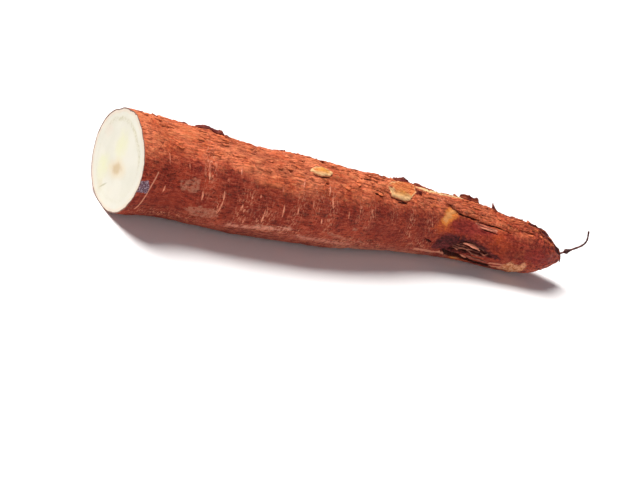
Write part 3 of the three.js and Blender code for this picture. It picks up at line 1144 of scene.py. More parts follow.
# %% Slivers
def sliver_shapes(table, rows, steps, seed):
    """Points of all slivers at once, in metres. Columns of the table: start
    (distance, degrees), end (distance, degrees), half width, height, lift of
    the start, lift of the end. The oval's width follows a half sine along the
    path, with some random unevenness."""
    slivers = np.array(table, float)[:, :, None, None]
    x0, deg0, x1, deg1, wide, high, lift0, lift1 = slivers.swapaxes(0, 1)
    random = np.random.default_rng(seed)
    t = np.linspace(0, 1, rows)[None, :, None]
    turn = np.linspace(0, 2 * math.pi, steps, endpoint=False)[None, None, :]
    uneven = 1 + 0.12 * random.uniform(-1, 1, (len(table), rows, 1))
    swell = np.maximum(np.sin(math.pi * (0.04 + 0.92 * t)), 0) ** 0.6 * uneven
    radius = body_radius((x0 + x1) / 2)
    run_x, run_round = x1 - x0, np.radians(deg1 - deg0) * radius
    length = np.hypot(run_x, run_round)
    bow = 0.035 * length * random.uniform(-1, 1, (len(table), 1, 1)) * np.sin(math.pi * t)
    offset = bow + wide * swell * np.cos(turn)
    x = x0 + run_x * t - offset * run_round / length
    angle = np.radians(deg0) + (run_round * t + offset * run_x / length) / radius
    middle_angle = np.radians(deg0) + run_round * t / radius
    lift = lift0 + (lift1 - lift0) * t
    base = bark_height(x0 + run_x * t, middle_angle)
    return bark_point(x, angle, base + lift + high * swell * np.sin(turn))


# %% [markdown]
# ## Pores
# The pores that face the viewer have places of their own, and the far side has
# seventy more at random, so the root looks right from every side.

# %% Pores
# start (distance, degrees), end (distance, degrees), half width
PORES = [
    (43.0, 47, 43.9, 27, 0.60), (17.8, 10, 17.8, 1, 0.50), (17.3, 47, 17.9, 34, 0.40),
    (41.8, 13, 43.0, 1, 0.50), (54.1, 19, 55.2, 7, 0.45), (55.2, 6, 54.8, -13, 0.50),
    (55.1, 33.5, 55.1, 30, 0.60), (62.4, 50, 62.5, 42, 0.50), (67.4, 8, 67.5, 3, 0.45),
    (71.9, -7, 72.9, -19, 0.50), (71.7, 21, 71.8, 17, 0.45), (76.7, 25, 76.8, 21, 0.45),
    (79.5, -6, 79.9, -12, 0.45), (82.6, 8, 83.5, -11, 0.55), (93.3, 19, 94.5, 1, 0.50),
    (103.0, 23, 103.5, 9, 0.50), (104.9, 55, 104.2, 44, 0.45), (120.6, 8, 122.0, 0, 0.45),
    (123.9, 59, 123.6, 40, 0.50), (126.0, 37, 127.0, 24, 0.50), (147.8, 35, 147.9, 30, 0.70),
    (156.9, 32, 157.0, 26, 0.60), (156.9, 22, 157.3, 16, 0.50), (191.0, 32, 191.6, 26, 0.40),
    (194.2, 6, 195.3, -2, 0.40), (184.6, 9, 184.8, 5, 0.50), (31.0, 40, 31.6, 33, 0.35),
    (90.0, 40, 90.5, 34, 0.40), (112.0, 30, 112.6, 20, 0.40), (139.0, 24, 139.6, 14, 0.40),
]
HIDDEN_PORES = 70
pore_x = pick.uniform(8, 288, HIDDEN_PORES)
pore_angle = pick.uniform(125, 300, HIDDEN_PORES)
pore_turn = np.degrees(pick.uniform(1.2, 5.5, HIDDEN_PORES) / body_radius(pore_x))
pore_lean = pick.normal(0, 0.6, HIDDEN_PORES)
pore_width = pick.uniform(0.35, 0.6, HIDDEN_PORES)
pore_ends = [pore_x, pore_angle, pore_x + pore_lean, pore_angle + pore_turn, pore_width]
pore_table = np.concatenate([np.array(PORES), np.column_stack(pore_ends)])
# cork swells each pore wider than its slit, and it stands this high in mm
PORE_SWELL, PORE_HEIGHT = 1.25, 0.22
pore_heights = np.tile([PORE_HEIGHT, 0.0, 0.0], (len(pore_table), 1))
pore_table[:, 4] *= PORE_SWELL
pore_table = np.column_stack([pore_table, pore_heights])
pore_shapes = sliver_shapes(pore_table, rows=11, steps=6, seed=204)
pores = make_piece(
    "breathing_pores",
    pore_shapes.reshape(-1, 3),
    [outward(pore_shapes, closed_strips(pore_shapes))],
)
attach(pores, "root")

# %% [markdown]
# ## Splinters
# Fibres torn loose lie in the hollow, a little clear of its floor, and a few
# more lie along the tears near it. Some are pale and some dark, which the tone
# in the last column says.

# %% Splinters
# start, end, half width, height, lift of the start and of the end, tone
SPLINTERS = [
    (240.5, 3.8, 257.5, -6.2, 0.85, 0.60, 2.2, 1.8, 0.95),
    (244.0, 4.2, 256.0, -2.2, 0.40, 0.40, 2.0, 1.6, 0.55),
    (236.5, 4.0, 247.0, 1.0, 0.45, 0.40, 1.3, 1.2, 0.20),
    (243.0, 8.0, 262.0, -3.0, 0.45, 0.40, 1.2, 1.0, 0.10),
    (233.5, -2.0, 248.0, -6.5, 0.45, 0.45, 1.1, 1.0, 0.22),
    (234.5, -7.0, 252.0, -11.0, 0.50, 0.45, 1.1, 1.0, 0.30),
    (248.0, -8.0, 264.0, -10.5, 0.45, 0.40, 1.1, 0.8, 0.16),
    (236.0, -12.5, 245.5, -14.5, 0.55, 0.45, 1.2, 1.1, 0.42),
    (246.0, -14.5, 262.0, -15.0, 0.55, 0.45, 0.9, 0.7, 0.24),
    (258.5, -10.5, 265.0, -8.5, 0.45, 0.40, 1.0, 0.8, 0.50),
    (244.5, -21.5, 250.5, -26.5, 0.70, 0.50, 0.8, 0.6, 0.62),
    (249.0, -20.0, 266.0, -24.0, 0.60, 0.45, 0.5, 0.3, 0.26),
    (252.0, 40.2, 264.0, 42.0, 0.55, 0.35, 0.0, 0.1, 0.80),
    (250.0, 45.0, 262.0, 44.2, 0.45, 0.30, 0.1, 0.2, 0.62),
    (272.5, -39.0, 281.0, -31.0, 0.60, 0.40, 0.2, 0.3, 0.85),
    (273.0, -46.0, 280.0, -41.0, 0.50, 0.35, 0.2, 0.2, 0.80),
]
splinter_table = np.array(SPLINTERS)
splinter_shapes = sliver_shapes(splinter_table[:, :8], rows=17, steps=8, seed=205)
splinters = make_piece(
    "torn_splinters",
    splinter_shapes.reshape(-1, 3),
    [outward(splinter_shapes, closed_strips(splinter_shapes))],
)
store(splinters, "tone", np.repeat(splinter_table[:, 8], splinter_shapes[0, ..., 0].size))
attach(splinters, "root")

# %% [markdown]
# ## The wiry rootlet
# Out of the tip grows one thin rootlet with a knob near its base. It is a
# round section carried along a smooth path. Each section stands across the
# path, turned by the path's own direction, so the wire doesn't twist.

# %% The wiry rootlet
# distance from the cut face, to the side and above the floor, in mm
ROOTLET_PATH = [
    (327.0, 4.6, 18.6), (329.2, 4.3, 20.0), (331.4, 4.2, 21.4), (333.5, 3.4, 23.5),
    (336.6, 2.6, 26.2), (340.7, 1.7, 30.1), (342.7, 1.8, 33.0), (343.5, 2.8, 35.8), (343.5, 5.3, 40.3),
]
ROOTLET_ROWS, ROOTLET_STEPS = 140, 14


def rootlet_radius(t):
    """Thick where it leaves the tip, a knob, then an even taper, with slow
    bumps and a rounded end."""
    knob = 1.05 * np.exp(-(((t - 0.355) / 0.06) ** 2))
    neck = 0.22 * np.exp(-(((t - 0.25) / 0.05) ** 2))
    base = 1.1 * ease((0.17 - t) / 0.17)
    bumps = 0.06 * np.sin(t * 61) + 0.05 * np.sin(t * 137 + 1)
    end = np.sqrt(np.clip((1.004 - t) / 0.02, 0.02, 1))
    return (0.80 - 0.22 * t + knob - neck + base + bumps) * end


def tube(path, radius, steps):
    """Rings of a tube: the section at each path point lies across the path's
    direction, measured from the Y axis so that no ring is turned on the next."""
    direction = np.gradient(path, axis=0)
    direction /= np.linalg.norm(direction, axis=1, keepdims=True)
    side = np.cross(direction, [0.0, 1.0, 0.0])
    side /= np.linalg.norm(side, axis=1, keepdims=True)
    other = np.cross(side, direction)
    turn = np.linspace(0, 2 * math.pi, steps, endpoint=False)[None, :, None]
    ring = side[:, None] * np.cos(turn) + other[:, None] * np.sin(turn)
    return path[:, None] + radius[:, None, None] * ring


share = np.linspace(0, 1, ROOTLET_ROWS)
wire_path = np.stack([smooth_through([p[k] for p in ROOTLET_PATH], share) for k in range(3)], -1)
wire_rings = tube(wire_path + [START_X, START_Y, 0], rootlet_radius(share), ROOTLET_STEPS)
wire_ends = wire_rings[[0, -1]].mean(axis=1)
wire_points = np.concatenate([wire_rings.reshape(-1, 3), wire_ends])
wire_rows, wire_columns = grid_corners(ROOTLET_ROWS, ROOTLET_STEPS)
wire_skin = wire_rows * ROOTLET_STEPS + wire_columns % ROOTLET_STEPS
step = np.arange(ROOTLET_STEPS)
next_step = (step + 1) % ROOTLET_STEPS
last_ring = (ROOTLET_ROWS - 1) * ROOTLET_STEPS
near_end = np.full(ROOTLET_STEPS, len(wire_points) - 2)
near_cap = np.stack([step, next_step, near_end], -1)
far_cap = np.stack([last_ring + next_step, last_ring + step, near_end + 1], -1)
rootlet = make_piece("wiry_rootlet", wire_points * MM, [wire_skin, near_cap, far_cap])
print("rootlet volume", round(signed_volume(rootlet) / CUBIC_MM, 1), "cubic mm")
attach(rootlet, "root")
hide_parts("tail_rootlet")

# %% [markdown]
# ## Wiring nodes without clutter
# A material is a small network. Each node here is added by one call that also
# sets its inputs: give a plain value and it is typed in, give another node's
# output and it is linked.


# %% Wiring nodes
def add(tree, kind, inputs=(), **settings):
    """A node of this kind, with its settings and inputs filled in."""
    node = tree.nodes.new("ShaderNode" + kind)
    for name, value in settings.items():
        setattr(node, name, value)
    for name, value in dict(inputs).items():
        if isinstance(value, bpy.types.NodeSocket):
            tree.links.new(value, node.inputs[name])
        else:
            node.inputs[name].default_value = value
    return node


def attribute(tree, name):
    """The number stored on the points under this name."""
    return add(tree, "Attribute", attribute_name=name).outputs["Fac"]


def calculate(tree, operation, first, second=0.0, third=0.0):
    """One sum or product."""
    node = add(tree, "Math", {0: first, 1: second, 2: third}, operation=operation)
    return node.outputs[0]


def both(tree, first, second):
    """Two shares multiplied: full only where both are."""
    return calculate(tree, "MULTIPLY", first, second)


def raised(tree, value, extra, times):
    """A value plus another one taken this many times."""
    return calculate(tree, "MULTIPLY_ADD", extra, times, value)


def between(tree, value, low, high):
    """0 where a value is under `low`, 1 over `high`, an easy slope between."""
    inputs = {"Value": value, "From Min": low, "From Max": high}
    node = add(tree, "MapRange", inputs, interpolation_type="SMOOTHSTEP")
    return node.outputs["Result"]


def noise(tree, where, scale, detail=3.0, roughness=0.55):
    """Soft random blotches, about 0.5 on average. Scale is blotches a metre."""
    inputs = {"Vector": where, "Scale": scale, "Detail": detail, "Roughness": roughness}
    return add(tree, "TexNoise", inputs).outputs[0]


def centred_noise(tree, where, scale, detail=3.0, roughness=0.55):
    """The same blotches counted from their average, so about 0 on average."""
    return calculate(tree, "SUBTRACT", noise(tree, where, scale, detail, roughness), 0.5)


def stretched(tree, where, scale):
    """The same place with each axis scaled by its own amount."""
    return add(tree, "Mapping", {"Vector": where, "Scale": scale}).outputs["Vector"]


# %% [markdown]
# ## Laying one colour over another
# Nearly every finish here is built up in thin layers: a value says where, a
# strength says how much, and a tone says what. Tones are given as a screen
# shows them, which is how they are picked, and turned into amounts of light.


# %% Laying colours
def mix(tree, share, first, second):
    """The first colour where the share is 0, the second where it is 1."""
    node = add(tree, "Mix", {0: share, 6: first, 7: second}, data_type="RGBA")
    return node.outputs[2]


def shown(red, green, blue):
    """A colour as a screen shows it, 0 to 255, in the linear amounts of light
    that nodes work with."""
    values = np.array([red, green, blue]) / 255
    light = np.where(values > 0.04045, ((values + 0.055) / 1.055) ** 2.4, values / 12.92)
    return (*light.tolist(), 1.0)


def toned(tree, value, low, high, first, second):
    """One tone where the value is under `low`, another where it is over
    `high`, and a blend between."""
    return mix(tree, between(tree, value, low, high), shown(*first), shown(*second))


def laid(tree, colour, share, strength, over):
    """Another colour laid over the first, with this share and strength."""
    return mix(tree, both(tree, share, strength), colour, over)


def painted(tree, colour, layers):
    """Tones laid over a colour one after another. Each layer is the value that
    steers it, where it starts, where it is full, its strength and its tone."""
    for value, start, full, strength, tone in layers:
        colour = laid(tree, colour, between(tree, value, start, full), strength, shown(*tone))
    return colour


# %% [markdown]
# ## Starting a material
# Every material here begins the same way: an empty network with one Principled
# shader and a source of Object coordinates, which stay with the piece wherever
# it is put.


# %% Starting a material
def new_material(name):
    """An empty material, its network, its Principled shader and a source of
    Object coordinates."""
    material = bpy.data.materials.new(name)
    material.use_nodes = True
    tree = material.node_tree
    tree.nodes.clear()
    shader = add(tree, "BsdfPrincipled")
    output = add(tree, "OutputMaterial", {"Surface": shader.outputs[0]})
    output.is_active_output = True
    place = add(tree, "TexCoord").outputs["Object"]
    return material, tree, shader, place


# %% [markdown]
# ## Grain shared by every barky thing
# Bark, chips, splinters, pores and the rootlet are all dried plant matter. One
# node group draws their grain: streaks along the root, short rings across it,
# broad mottling and fine specks. Each material uses it with its own values.

# %% The shared grain group
grain_group = bpy.data.node_groups.new("dry fibre grain", "ShaderNodeTree")
GRAIN_INPUTS = [
    ("Place", "NodeSocketVector", None),
    ("Streaks a metre", "NodeSocketFloat", 900.0),
    ("Mottling a metre", "NodeSocketFloat", 70.0),
    ("Specks a metre", "NodeSocketFloat", 1500.0),
]
GRAIN_OUTPUTS = ("Streaks", "Rings", "Mottling", "Specks", "Height")
for name, kind, value in GRAIN_INPUTS:
    socket = grain_group.interface.new_socket(name=name, in_out="INPUT", socket_type=kind)
    if value is not None:
        socket.default_value = value
for name in GRAIN_OUTPUTS:
    grain_group.interface.new_socket(name=name, in_out="OUTPUT", socket_type="NodeSocketFloat")
given = grain_group.nodes.new("NodeGroupInput").outputs
along = stretched(grain_group, given["Place"], (0.13, 1.0, 1.0))
across = stretched(grain_group, given["Place"], (1.0, 0.12, 0.12))
streaks = noise(grain_group, along, given["Streaks a metre"], 3.0, 0.6)
rings_across = noise(grain_group, across, given["Streaks a metre"], 2.0, 0.5)
mottling = noise(grain_group, given["Place"], given["Mottling a metre"], 5.0, 0.6)
specks = noise(grain_group, given["Place"], given["Specks a metre"], 2.0, 0.6)
summed = raised(grain_group, streaks, rings_across, 0.45)
summed = raised(grain_group, summed, specks, 0.55)
taken = grain_group.nodes.new("NodeGroupOutput").inputs
for name, result in zip(GRAIN_OUTPUTS, (streaks, rings_across, mottling, specks, summed)):
    grain_group.links.new(result, taken[name])
print("grain group:", len(grain_group.nodes), "nodes")


def grain_in(tree, place, streaks, mottling, specks):
    """The grain group placed in a material; returns its outputs."""
    node = tree.nodes.new("ShaderNodeGroup")
    node.node_tree = grain_group
    tree.links.new(place, node.inputs["Place"])
    node.inputs["Streaks a metre"].default_value = streaks
    node.inputs["Mottling a metre"].default_value = mottling
    node.inputs["Specks a metre"].default_value = specks
    return node.outputs


# %% [markdown]
# ## Random fields for the bark
# The bark's colours are steered by a few random fields: scales drawn out along
# the root, fine skin, blotches, a ragged field that roughens every outline, and
# the fissures of dry bark. Each is made once and shared by all the layers, so
# that colour and bump agree.


# %% Random fields for the bark
def fissures_in(tree, place, brittle):
    """Thin dark lines: where a field stretched along the root is close to its
    average, in some places only, and more where the bark is brittle."""
    lines = centred_noise(tree, stretched(tree, place, (0.10, 1.0, 1.0)), 330.0, 3.0, 0.6)
    on_line = between(tree, calculate(tree, "ABSOLUTE", lines), 0.045, 0.012)
    some = between(tree, noise(tree, place, 150.0, 3.0, 0.6), 0.42, 0.56)
    return both(tree, both(tree, on_line, some), brittle)


def bark_fields(tree, place):
    """All the fields that steer the bark's paint, each under a plain name."""
    fibre = grain_in(tree, place, 950.0, 75.0, 1500.0)
    fields = types.SimpleNamespace(
        place=place,
        streaks=fibre["Streaks"],
        rings=fibre["Rings"],
        mottling=fibre["Mottling"],
        specks=fibre["Specks"],
        fibre_height=fibre["Height"],
        ragged=centred_noise(tree, place, 520.0, 4.0, 0.65),
        blotches=centred_noise(tree, place, 390.0, 4.0, 0.70),
        scales=noise(tree, stretched(tree, place, (0.24, 1.0, 1.0)), 880.0, 4.0, 0.74),
        skin=noise(tree, stretched(tree, place, (0.34, 1.0, 1.0)), 700.0, 5.0, 0.75),
        relief=attribute(tree, "relief_mm"),
        brittle=attribute(tree, "brittle"),
    )
    fields.fissures = fissures_in(tree, place, fields.brittle)
    old = raised(tree, attribute(tree, "old_bark"), fields.ragged, 1.2)
    fields.old = between(tree, old, 0.2, 0.8)
    inputs = {0: fields.old, 2: fields.skin, 3: fields.scales}
    fields.surface = add(tree, "Mix", inputs, data_type="FLOAT").outputs[0]
    return fields


def inside(tree, fields, name, low, high, rough):
    """0 under `low` mm inside a stored outline, 1 over `high`, with a ragged
    edge."""
    return between(tree, raised(tree, attribute(tree, name), fields.ragged, rough), low, high)


# %% [markdown]
# ## Tight skin and old bark
# The ground is two colours, tight red-brown skin and bright orange old bark,
# parted by the old-bark number with a ragged border. One flat colour each would
# look like plastic, so broad and fine fields darken and lighten both, painted
# shade darkens the hollows and painted highlight lightens the high scales, and
# towards the tip all of it is redder.


# %% Tight skin and old bark
def bark_ground(tree, fields):
    """The colour of the bark before any mark is laid on it."""
    tight = toned(tree, fields.mottling, 0.36, 0.66, (150, 45, 28), (186, 70, 43))
    broad = noise(tree, fields.place, 26.0, 3.0)
    tight_layers = [
        (broad, 0.40, 0.64, 0.45, (118, 32, 22)),
        (fields.skin, 0.50, 0.38, 0.85, (66, 14, 10)),
        (fields.skin, 0.52, 0.63, 0.70, (206, 101, 72)),
        (fields.specks, 0.56, 0.66, 0.35, (212, 118, 90)),
        (fields.rings, 0.56, 0.68, 0.30, (196, 99, 70)),
    ]
    dry = toned(tree, fields.mottling, 0.36, 0.64, (218, 98, 58), (250, 138, 94))
    dry_layers = [
        (fields.scales, 0.50, 0.35, 0.78, (104, 30, 17)),
        (fields.scales, 0.53, 0.66, 0.80, (252, 164, 110)),
    ]
    dry = laid(tree, painted(tree, dry, dry_layers), fields.fissures, 0.75, shown(84, 20, 12))
    colour = mix(tree, fields.old, painted(tree, tight, tight_layers), dry)
    reddened = calculate(tree, "MULTIPLY_ADD", fields.brittle, 0.45, -0.18)
    colour = mix(tree, reddened, colour, shown(156, 44, 32))
    # painted shade in the low places of the relief and painted highlight on its high scales
    relief_shade_and_highlight = [
        (fields.streaks, 0.48, 0.64, 0.34, (92, 26, 16)),
        (fields.relief, 0.0, -0.8, 0.52, (104, 30, 18)),
        (fields.relief, 0.1, 0.8, 0.40, (244, 146, 94)),
    ]
    return painted(tree, colour, relief_shade_and_highlight)


# %% [markdown]
# ## Creased skin at the tip
# Round the tip the skin has shrunk into folds, darker in them and lighter on the
# ridges: partly the skin's own tone, partly painted shade and painted highlight
# following the relief.
# It is a colour of its own, laid over the ground by the tip number. The same
# blotches, weaker, run back from it and fade out towards the middle.


# %% Creased skin at the tip
def creased_tip(tree, fields):
    """The colour of the shrunken skin."""
    creased = toned(tree, fields.surface, 0.40, 0.56, (74, 14, 14), (158, 46, 41))
    layers = [
        (fields.blotches, 0.02, 0.08, 0.70, (202, 86, 64)),
        (fields.blotches, -0.02, -0.08, 0.66, (64, 12, 14)),
        (fields.specks, 0.51, 0.59, 0.55, (216, 104, 80)),
        # painted shade in the low places of the relief, painted highlight on the high ones
        (fields.relief, -0.1, -0.5, 0.60, (66, 12, 10)),
        (fields.relief, 0.2, 0.6, 0.50, (210, 94, 66)),
        (fields.ragged, 0.03, 0.08, 0.45, (214, 92, 58)),
        (fields.ragged, -0.03, -0.08, 0.50, (70, 13, 12)),
    ]
    return painted(tree, creased, layers)


def blotched(tree, fields, colour):
    """Light and dark spots, stronger where the bark is brittle."""
    mottled = calculate(tree, "MULTIPLY_ADD", fields.brittle, 1.8, -0.8)
    light_spots = both(tree, mottled, between(tree, fields.blotches, 0.02, 0.08))
    dark_spots = both(tree, mottled, between(tree, fields.blotches, -0.03, -0.09))
    colour = laid(tree, colour, light_spots, 0.40, shown(214, 98, 64))
    return laid(tree, colour, dark_spots, 0.42, shown(86, 18, 16))


# %% [markdown]
# ## Glow, shade, rubs, scratches, dust and bounce light
# One place glows orange and others are darker; across the middle of the front
# flank the darker places are painted shade. Handling has rubbed the skin pale in
# places, scratched and scuffed it along the lower edge, flecked it and left dust
# low on the side. The pale band along the very edge and the paler lower side are
# also painted bounce light from the floor. All are thin, broken layers over the
# ground, so each is cut up by a random field rather than painted solid.


# %% Glow, shade, rubs, scratches, dust and bounce light
def handled(tree, fields, colour):
    """The bark with its soft spots, the traces of handling, painted shade on the front flank and
    painted bounce light low on the side.
    """
    glow = both(tree, attribute(tree, "glow"), between(tree, fields.mottling, 0.30, 0.60))
    colour = laid(tree, colour, glow, 0.62, shown(226, 96, 38))
    # darker places: painted shade across the middle of the front flank, the skin's own darker tone
    # elsewhere
    colour = laid(tree, colour, attribute(tree, "darker_skin_and_shade"), 0.44, shown(104, 32, 26))
    worn = between(tree, noise(tree, fields.place, 420.0, 4.0, 0.7), 0.34, 0.58)
    rubbed = both(tree, inside(tree, fields, "rubbed_mm", -0.6, 0.8, 3.0), worn)
    colour = laid(tree, colour, rubbed, 0.62, shown(202, 134, 106))
    scratch = raised(tree, attribute(tree, "scratched"), fields.ragged, 1.2)
    colour = laid(tree, colour, between(tree, scratch, 1.25, 0.65), 0.70, shown(238, 160, 128))
    # pale scuffs, and along the very edge painted bounce light from the floor
    scuff_and_bounce = raised(tree, attribute(tree, "scuffed_and_bounce_lit"), fields.ragged, 4.0)
    scuff_and_bounce = both(tree, between(tree, scuff_and_bounce, 1.5, 0.3), worn)
    colour = laid(tree, colour, scuff_and_bounce, 0.72, shown(248, 172, 144))
    pale = noise(tree, stretched(tree, fields.place, (1.5, 0.6, 0.6)), 760.0, 3.0, 0.7)
    flecks = both(tree, between(tree, pale, 0.52, 0.60), attribute(tree, "flecked"))
    colour = laid(tree, colour, flecks, 0.85, shown(226, 144, 110))
    # partly dust, partly painted bounce light from the floor: the lower side is painted paler
    dust_and_bounce = both(tree, attribute(tree, "dust_and_bounce_light"), between(tree, fields.skin, 0.40, 0.58))
    return laid(tree, colour, dust_and_bounce, 0.50, shown(214, 128, 104))


# %% [markdown]
# ## Wine-red skin, the plum band and the hollow
# Young skin shows wine red where the old bark has gone, plum-brown skin
# surrounds the torn hollow and follows the tip's upper edge, and the hollow
# itself is painted nearly black between its fibres, as painted shade deep in it.
# Each could be one dark tone, but two tones parted by a fine field keep the
# grain of the skin in them.


# %% Wine-red skin, the plum band and the hollow
def darkened(tree, fields, colour):
    """The bark with its dark places, the painted shade of the hollow among them."""
    wine = toned(tree, fields.skin, 0.38, 0.60, (112, 28, 27), (170, 60, 51))
    colour = laid(tree, colour, inside(tree, fields, "wine_mm", -1.5, 1.5, 5.0), 0.75, wine)
    plum = toned(tree, fields.skin, 0.42, 0.60, (44, 12, 16), (114, 43, 45))
    colour = laid(tree, colour, inside(tree, fields, "plum_mm", -1.0, 1.2, 6.0), 0.90, plum)
    # painted shade: the hollow is painted nearly black between its fibres
    hollow = toned(tree, fields.streaks, 0.42, 0.60, (40, 5, 3), (106, 41, 32))
    return laid(tree, colour, inside(tree, fields, "hollow_mm", -0.4, 0.8, 3.0), 0.92, hollow)


# %% [markdown]
# ## Bared inner bark and flesh
# Where bark has come off, the layers below show: amber inner bark, the peeled
# plate with its cream rim, a tan patch near the tip and a cream strip past the
# plate. The plate is paler towards its outline and its free edge, so its
# middle is found from both distances.


# %% Bared inner bark and flesh
def peeled_plate(tree, fields, bright):
    """The plate and the scar: orange in the middle, cream along the rim."""
    lip = raised(tree, attribute(tree, "lip_mm"), fields.blotches, 3.2)
    rim = raised(tree, attribute(tree, "plate_mm"), fields.blotches, 2.0)
    middle = both(tree, between(tree, lip, 1.6, 5.8), between(tree, rim, 0.3, 1.3))
    peeled = toned(tree, fields.surface, 0.40, 0.60, (210, 98, 52), (246, 156, 92))
    peeled = painted(tree, peeled, [(bright, 0.1, 0.9, 0.75, (255, 180, 84))])
    return mix(tree, middle, shown(255, 205, 144), peeled)


def bared(tree, fields, colour):
    """The bark with the places where it has come off."""
    bright = raised(tree, attribute(tree, "bright"), fields.blotches, 1.1)
    amber = toned(tree, bright, 0.0, 0.4, (206, 88, 46), (255, 150, 66))
    amber_layers = [
        (bright, 0.40, 0.85, 0.95, (255, 178, 104)),
        (fields.surface, 0.47, 0.38, 0.40, (140, 52, 24)),
    ]
    amber = painted(tree, amber, amber_layers)
    colour = laid(tree, colour, inside(tree, fields, "amber_mm", -2.0, 2.0, 8.0), 0.94, amber)
    plate = peeled_plate(tree, fields, bright)
    colour = laid(tree, colour, inside(tree, fields, "plate_mm", -0.1, 0.5, 0.8), 0.95, plate)
    tan = toned(tree, fields.blotches, -0.06, 0.05, (206, 118, 72), (246, 184, 138))
    colour = laid(tree, colour, inside(tree, fields, "tan_mm", -1.6, 1.8, 4.0), 0.90, tan)
    cream = toned(tree, fields.scales, 0.40, 0.56, (240, 160, 100), (255, 228, 172))
    return laid(tree, colour, inside(tree, fields, "cream_mm", -0.5, 0.7, 1.8), 0.95, cream)


# %% [markdown]
# ## The bark, put together
# The layers go on in the order in which they came about: ground, shrunken tip,
# handling, dark places, bared places, then a lilac bruise at the cut and, over
# everything, painted shade in the cracks, the slits and the gaps beside the lifted
# plates. The same fields drive the bump, so light and colour show the same scales.


# %% The bark material
def bark_material():
    """Returns the material of the whole bark."""
    material, tree, shader, place = new_material("cassava bark")
    fields = bark_fields(tree, place)
    colour = bark_ground(tree, fields)
    colour = laid(tree, colour, attribute(tree, "tip"), 0.85, creased_tip(tree, fields))
    colour = handled(tree, fields, blotched(tree, fields, colour))
    colour = bared(tree, fields, darkened(tree, fields, colour))
    bruise = toned(tree, fields.specks, 0.48, 0.62, (96, 68, 84), (188, 170, 182))
    colour = laid(tree, colour, inside(tree, fields, "bruise_mm", -0.4, 0.4, 2.0), 0.92, bruise)
    # painted shade: near-black over the cracks, the slits and the gaps beside the lifted plates
    torn = raised(tree, attribute(tree, "painted_split_shade"), fields.ragged, 0.5)
    colour = painted(tree, colour, [(torn, 0.18, 0.58, 0.95, (46, 5, 3))])
    tree.links.new(colour, shader.inputs["Base Color"])
    shine = calculate(tree, "MULTIPLY_ADD", fields.specks, 0.35, 0.40)
    shine = raised(tree, shine, attribute(tree, "old_bark"), 0.08)
    tree.links.new(shine, shader.inputs["Roughness"])
    shader.inputs["Specular IOR Level"].default_value = 0.15
    sunk = both(tree, fields.fissures, attribute(tree, "old_bark"))
    height = raised(tree, fields.fibre_height, fields.surface, 1.8)
    height = raised(tree, height, sunk, -0.8)
    bump = add(tree, "Bump", {"Height": height, "Strength": 1.0, "Distance": 0.0008})
    tree.links.new(bump.outputs["Normal"], shader.inputs["Normal"])
    return material


# %% [markdown]
# ## The cut flesh
# Fresh flesh is creamy white with a tan spot of pith off the middle, a faint
# ring of dots where the wood vessels end, and a thin pinkish rind under a line
# of brown bark. A Mapping node moves a spot to the origin, so the pith and each
# tint are plain distances from a spot of their own.

# %% Spots on the cut
CUT_MIDDLE = tuple(float(value) for value in centre_of_cut / MM)
# the pith and a small nick, as offsets in mm from the middle of the cut
PITH = (0, -2.5, -3.6)
NICK = (0, 4.3, -18.6)
# faint tints of the flesh: offset, squash, reach in mm, tone, strength
TINTS = [
    ((0, 11.6, -10.4), (1, 1, 0.8), 9.0, (204, 206, 158), 0.70),
    ((0, 1.6, 8.8), (1, 1, 0.7), 9.0, (207, 207, 164), 0.65),
    ((0, 6.9, -20.4), (1, 1, 1), 5.0, (192, 180, 146), 0.45),
    ((0, 20.0, 9.0), (1, 1, 1), 7.0, (208, 192, 176), 0.50),
]


def from_spot(tree, place, offset, squash=(1.0, 1.0, 1.0), wobble=0.0, turn=0.0):
    """Distance in mm from a spot given as an offset from the middle. The face
    is turned first and squashed after, so a spot can be long in any
    direction."""
    spot = [-(CUT_MIDDLE[k] + offset[k]) * MM for k in range(3)]
    moved = add(tree, "Mapping", {"Vector": place, "Location": spot}).outputs[0]
    turned = add(tree, "Mapping", {0: moved, "Rotation": (math.radians(turn), 0, 0)}).outputs[0]
    squashed = stretched(tree, turned, [value / MM for value in squash])
    length = add(tree, "VectorMath", {0: squashed}, operation="LENGTH").outputs["Value"]
    return raised(tree, length, centred_noise(tree, place, 170.0, 4.0), wobble)


# %% [markdown]
# ## Tints and the ring of vessels
# Tints, pith and nick are laid over the flesh by their distances. The ring of
# vessels follows the edge of the cut, so it is a band of the distance in from
# that edge, stored on the points.


# %% Tints and the ring of vessels
def tinted_flesh(tree, place, cloud):
    """Creamy flesh with its tints, the pith in a soft halo and the nick."""
    flesh = toned(tree, cloud, 0.35, 0.65, (200, 198, 184), (206, 204, 191))
    for offset, squash, reach, tone, strength in TINTS:
        away = from_spot(tree, place, offset, squash, 9.0)
        flesh = painted(tree, flesh, [(away, reach, 0.0, strength, tone)])
    from_pith = from_spot(tree, place, PITH, (1.0, 0.6, 1.0), 4.0, turn=29)
    from_nick = from_spot(tree, place, NICK, (0.0, 0.175, 1.5), turn=49.3)
    layers = [
        (from_pith, 8.0, 1.5, 0.60, (206, 186, 148)),
        (from_pith, 4.4, 1.2, 0.62, (176, 150, 110)),
        (from_nick, 1.0, 0.4, 0.60, (150, 146, 110)),
    ]
    return painted(tree, flesh, layers)


def ring_of_vessels(tree, place, rim):
    """A band about 6 mm in from the edge, drifting in and out, and clearer in
    the upper half."""
    gap = raised(tree, rim, centred_noise(tree, place, 45.0, 2.0), 5.0)
    inner, outer = between(tree, gap, 4.4, 5.8), between(tree, gap, 5.8, 8.6)
    band = calculate(tree, "SUBTRACT", inner, outer)
    above = add(tree, "SeparateXYZ", {0: place}).outputs["Z"]
    middle = CUT_MIDDLE[2] * MM
    upper = between(tree, above, middle + 4 * MM, middle + 15 * MM)
    return both(tree, band, calculate(tree, "MULTIPLY_ADD", upper, 0.8, 0.2))


# %% [markdown]
# ## The flesh, put together
# Flesh lets a little light in, so it has some subsurface scattering. The knife
# left faint marks that run sideways over the face; they and a fine grit make
# the bump.


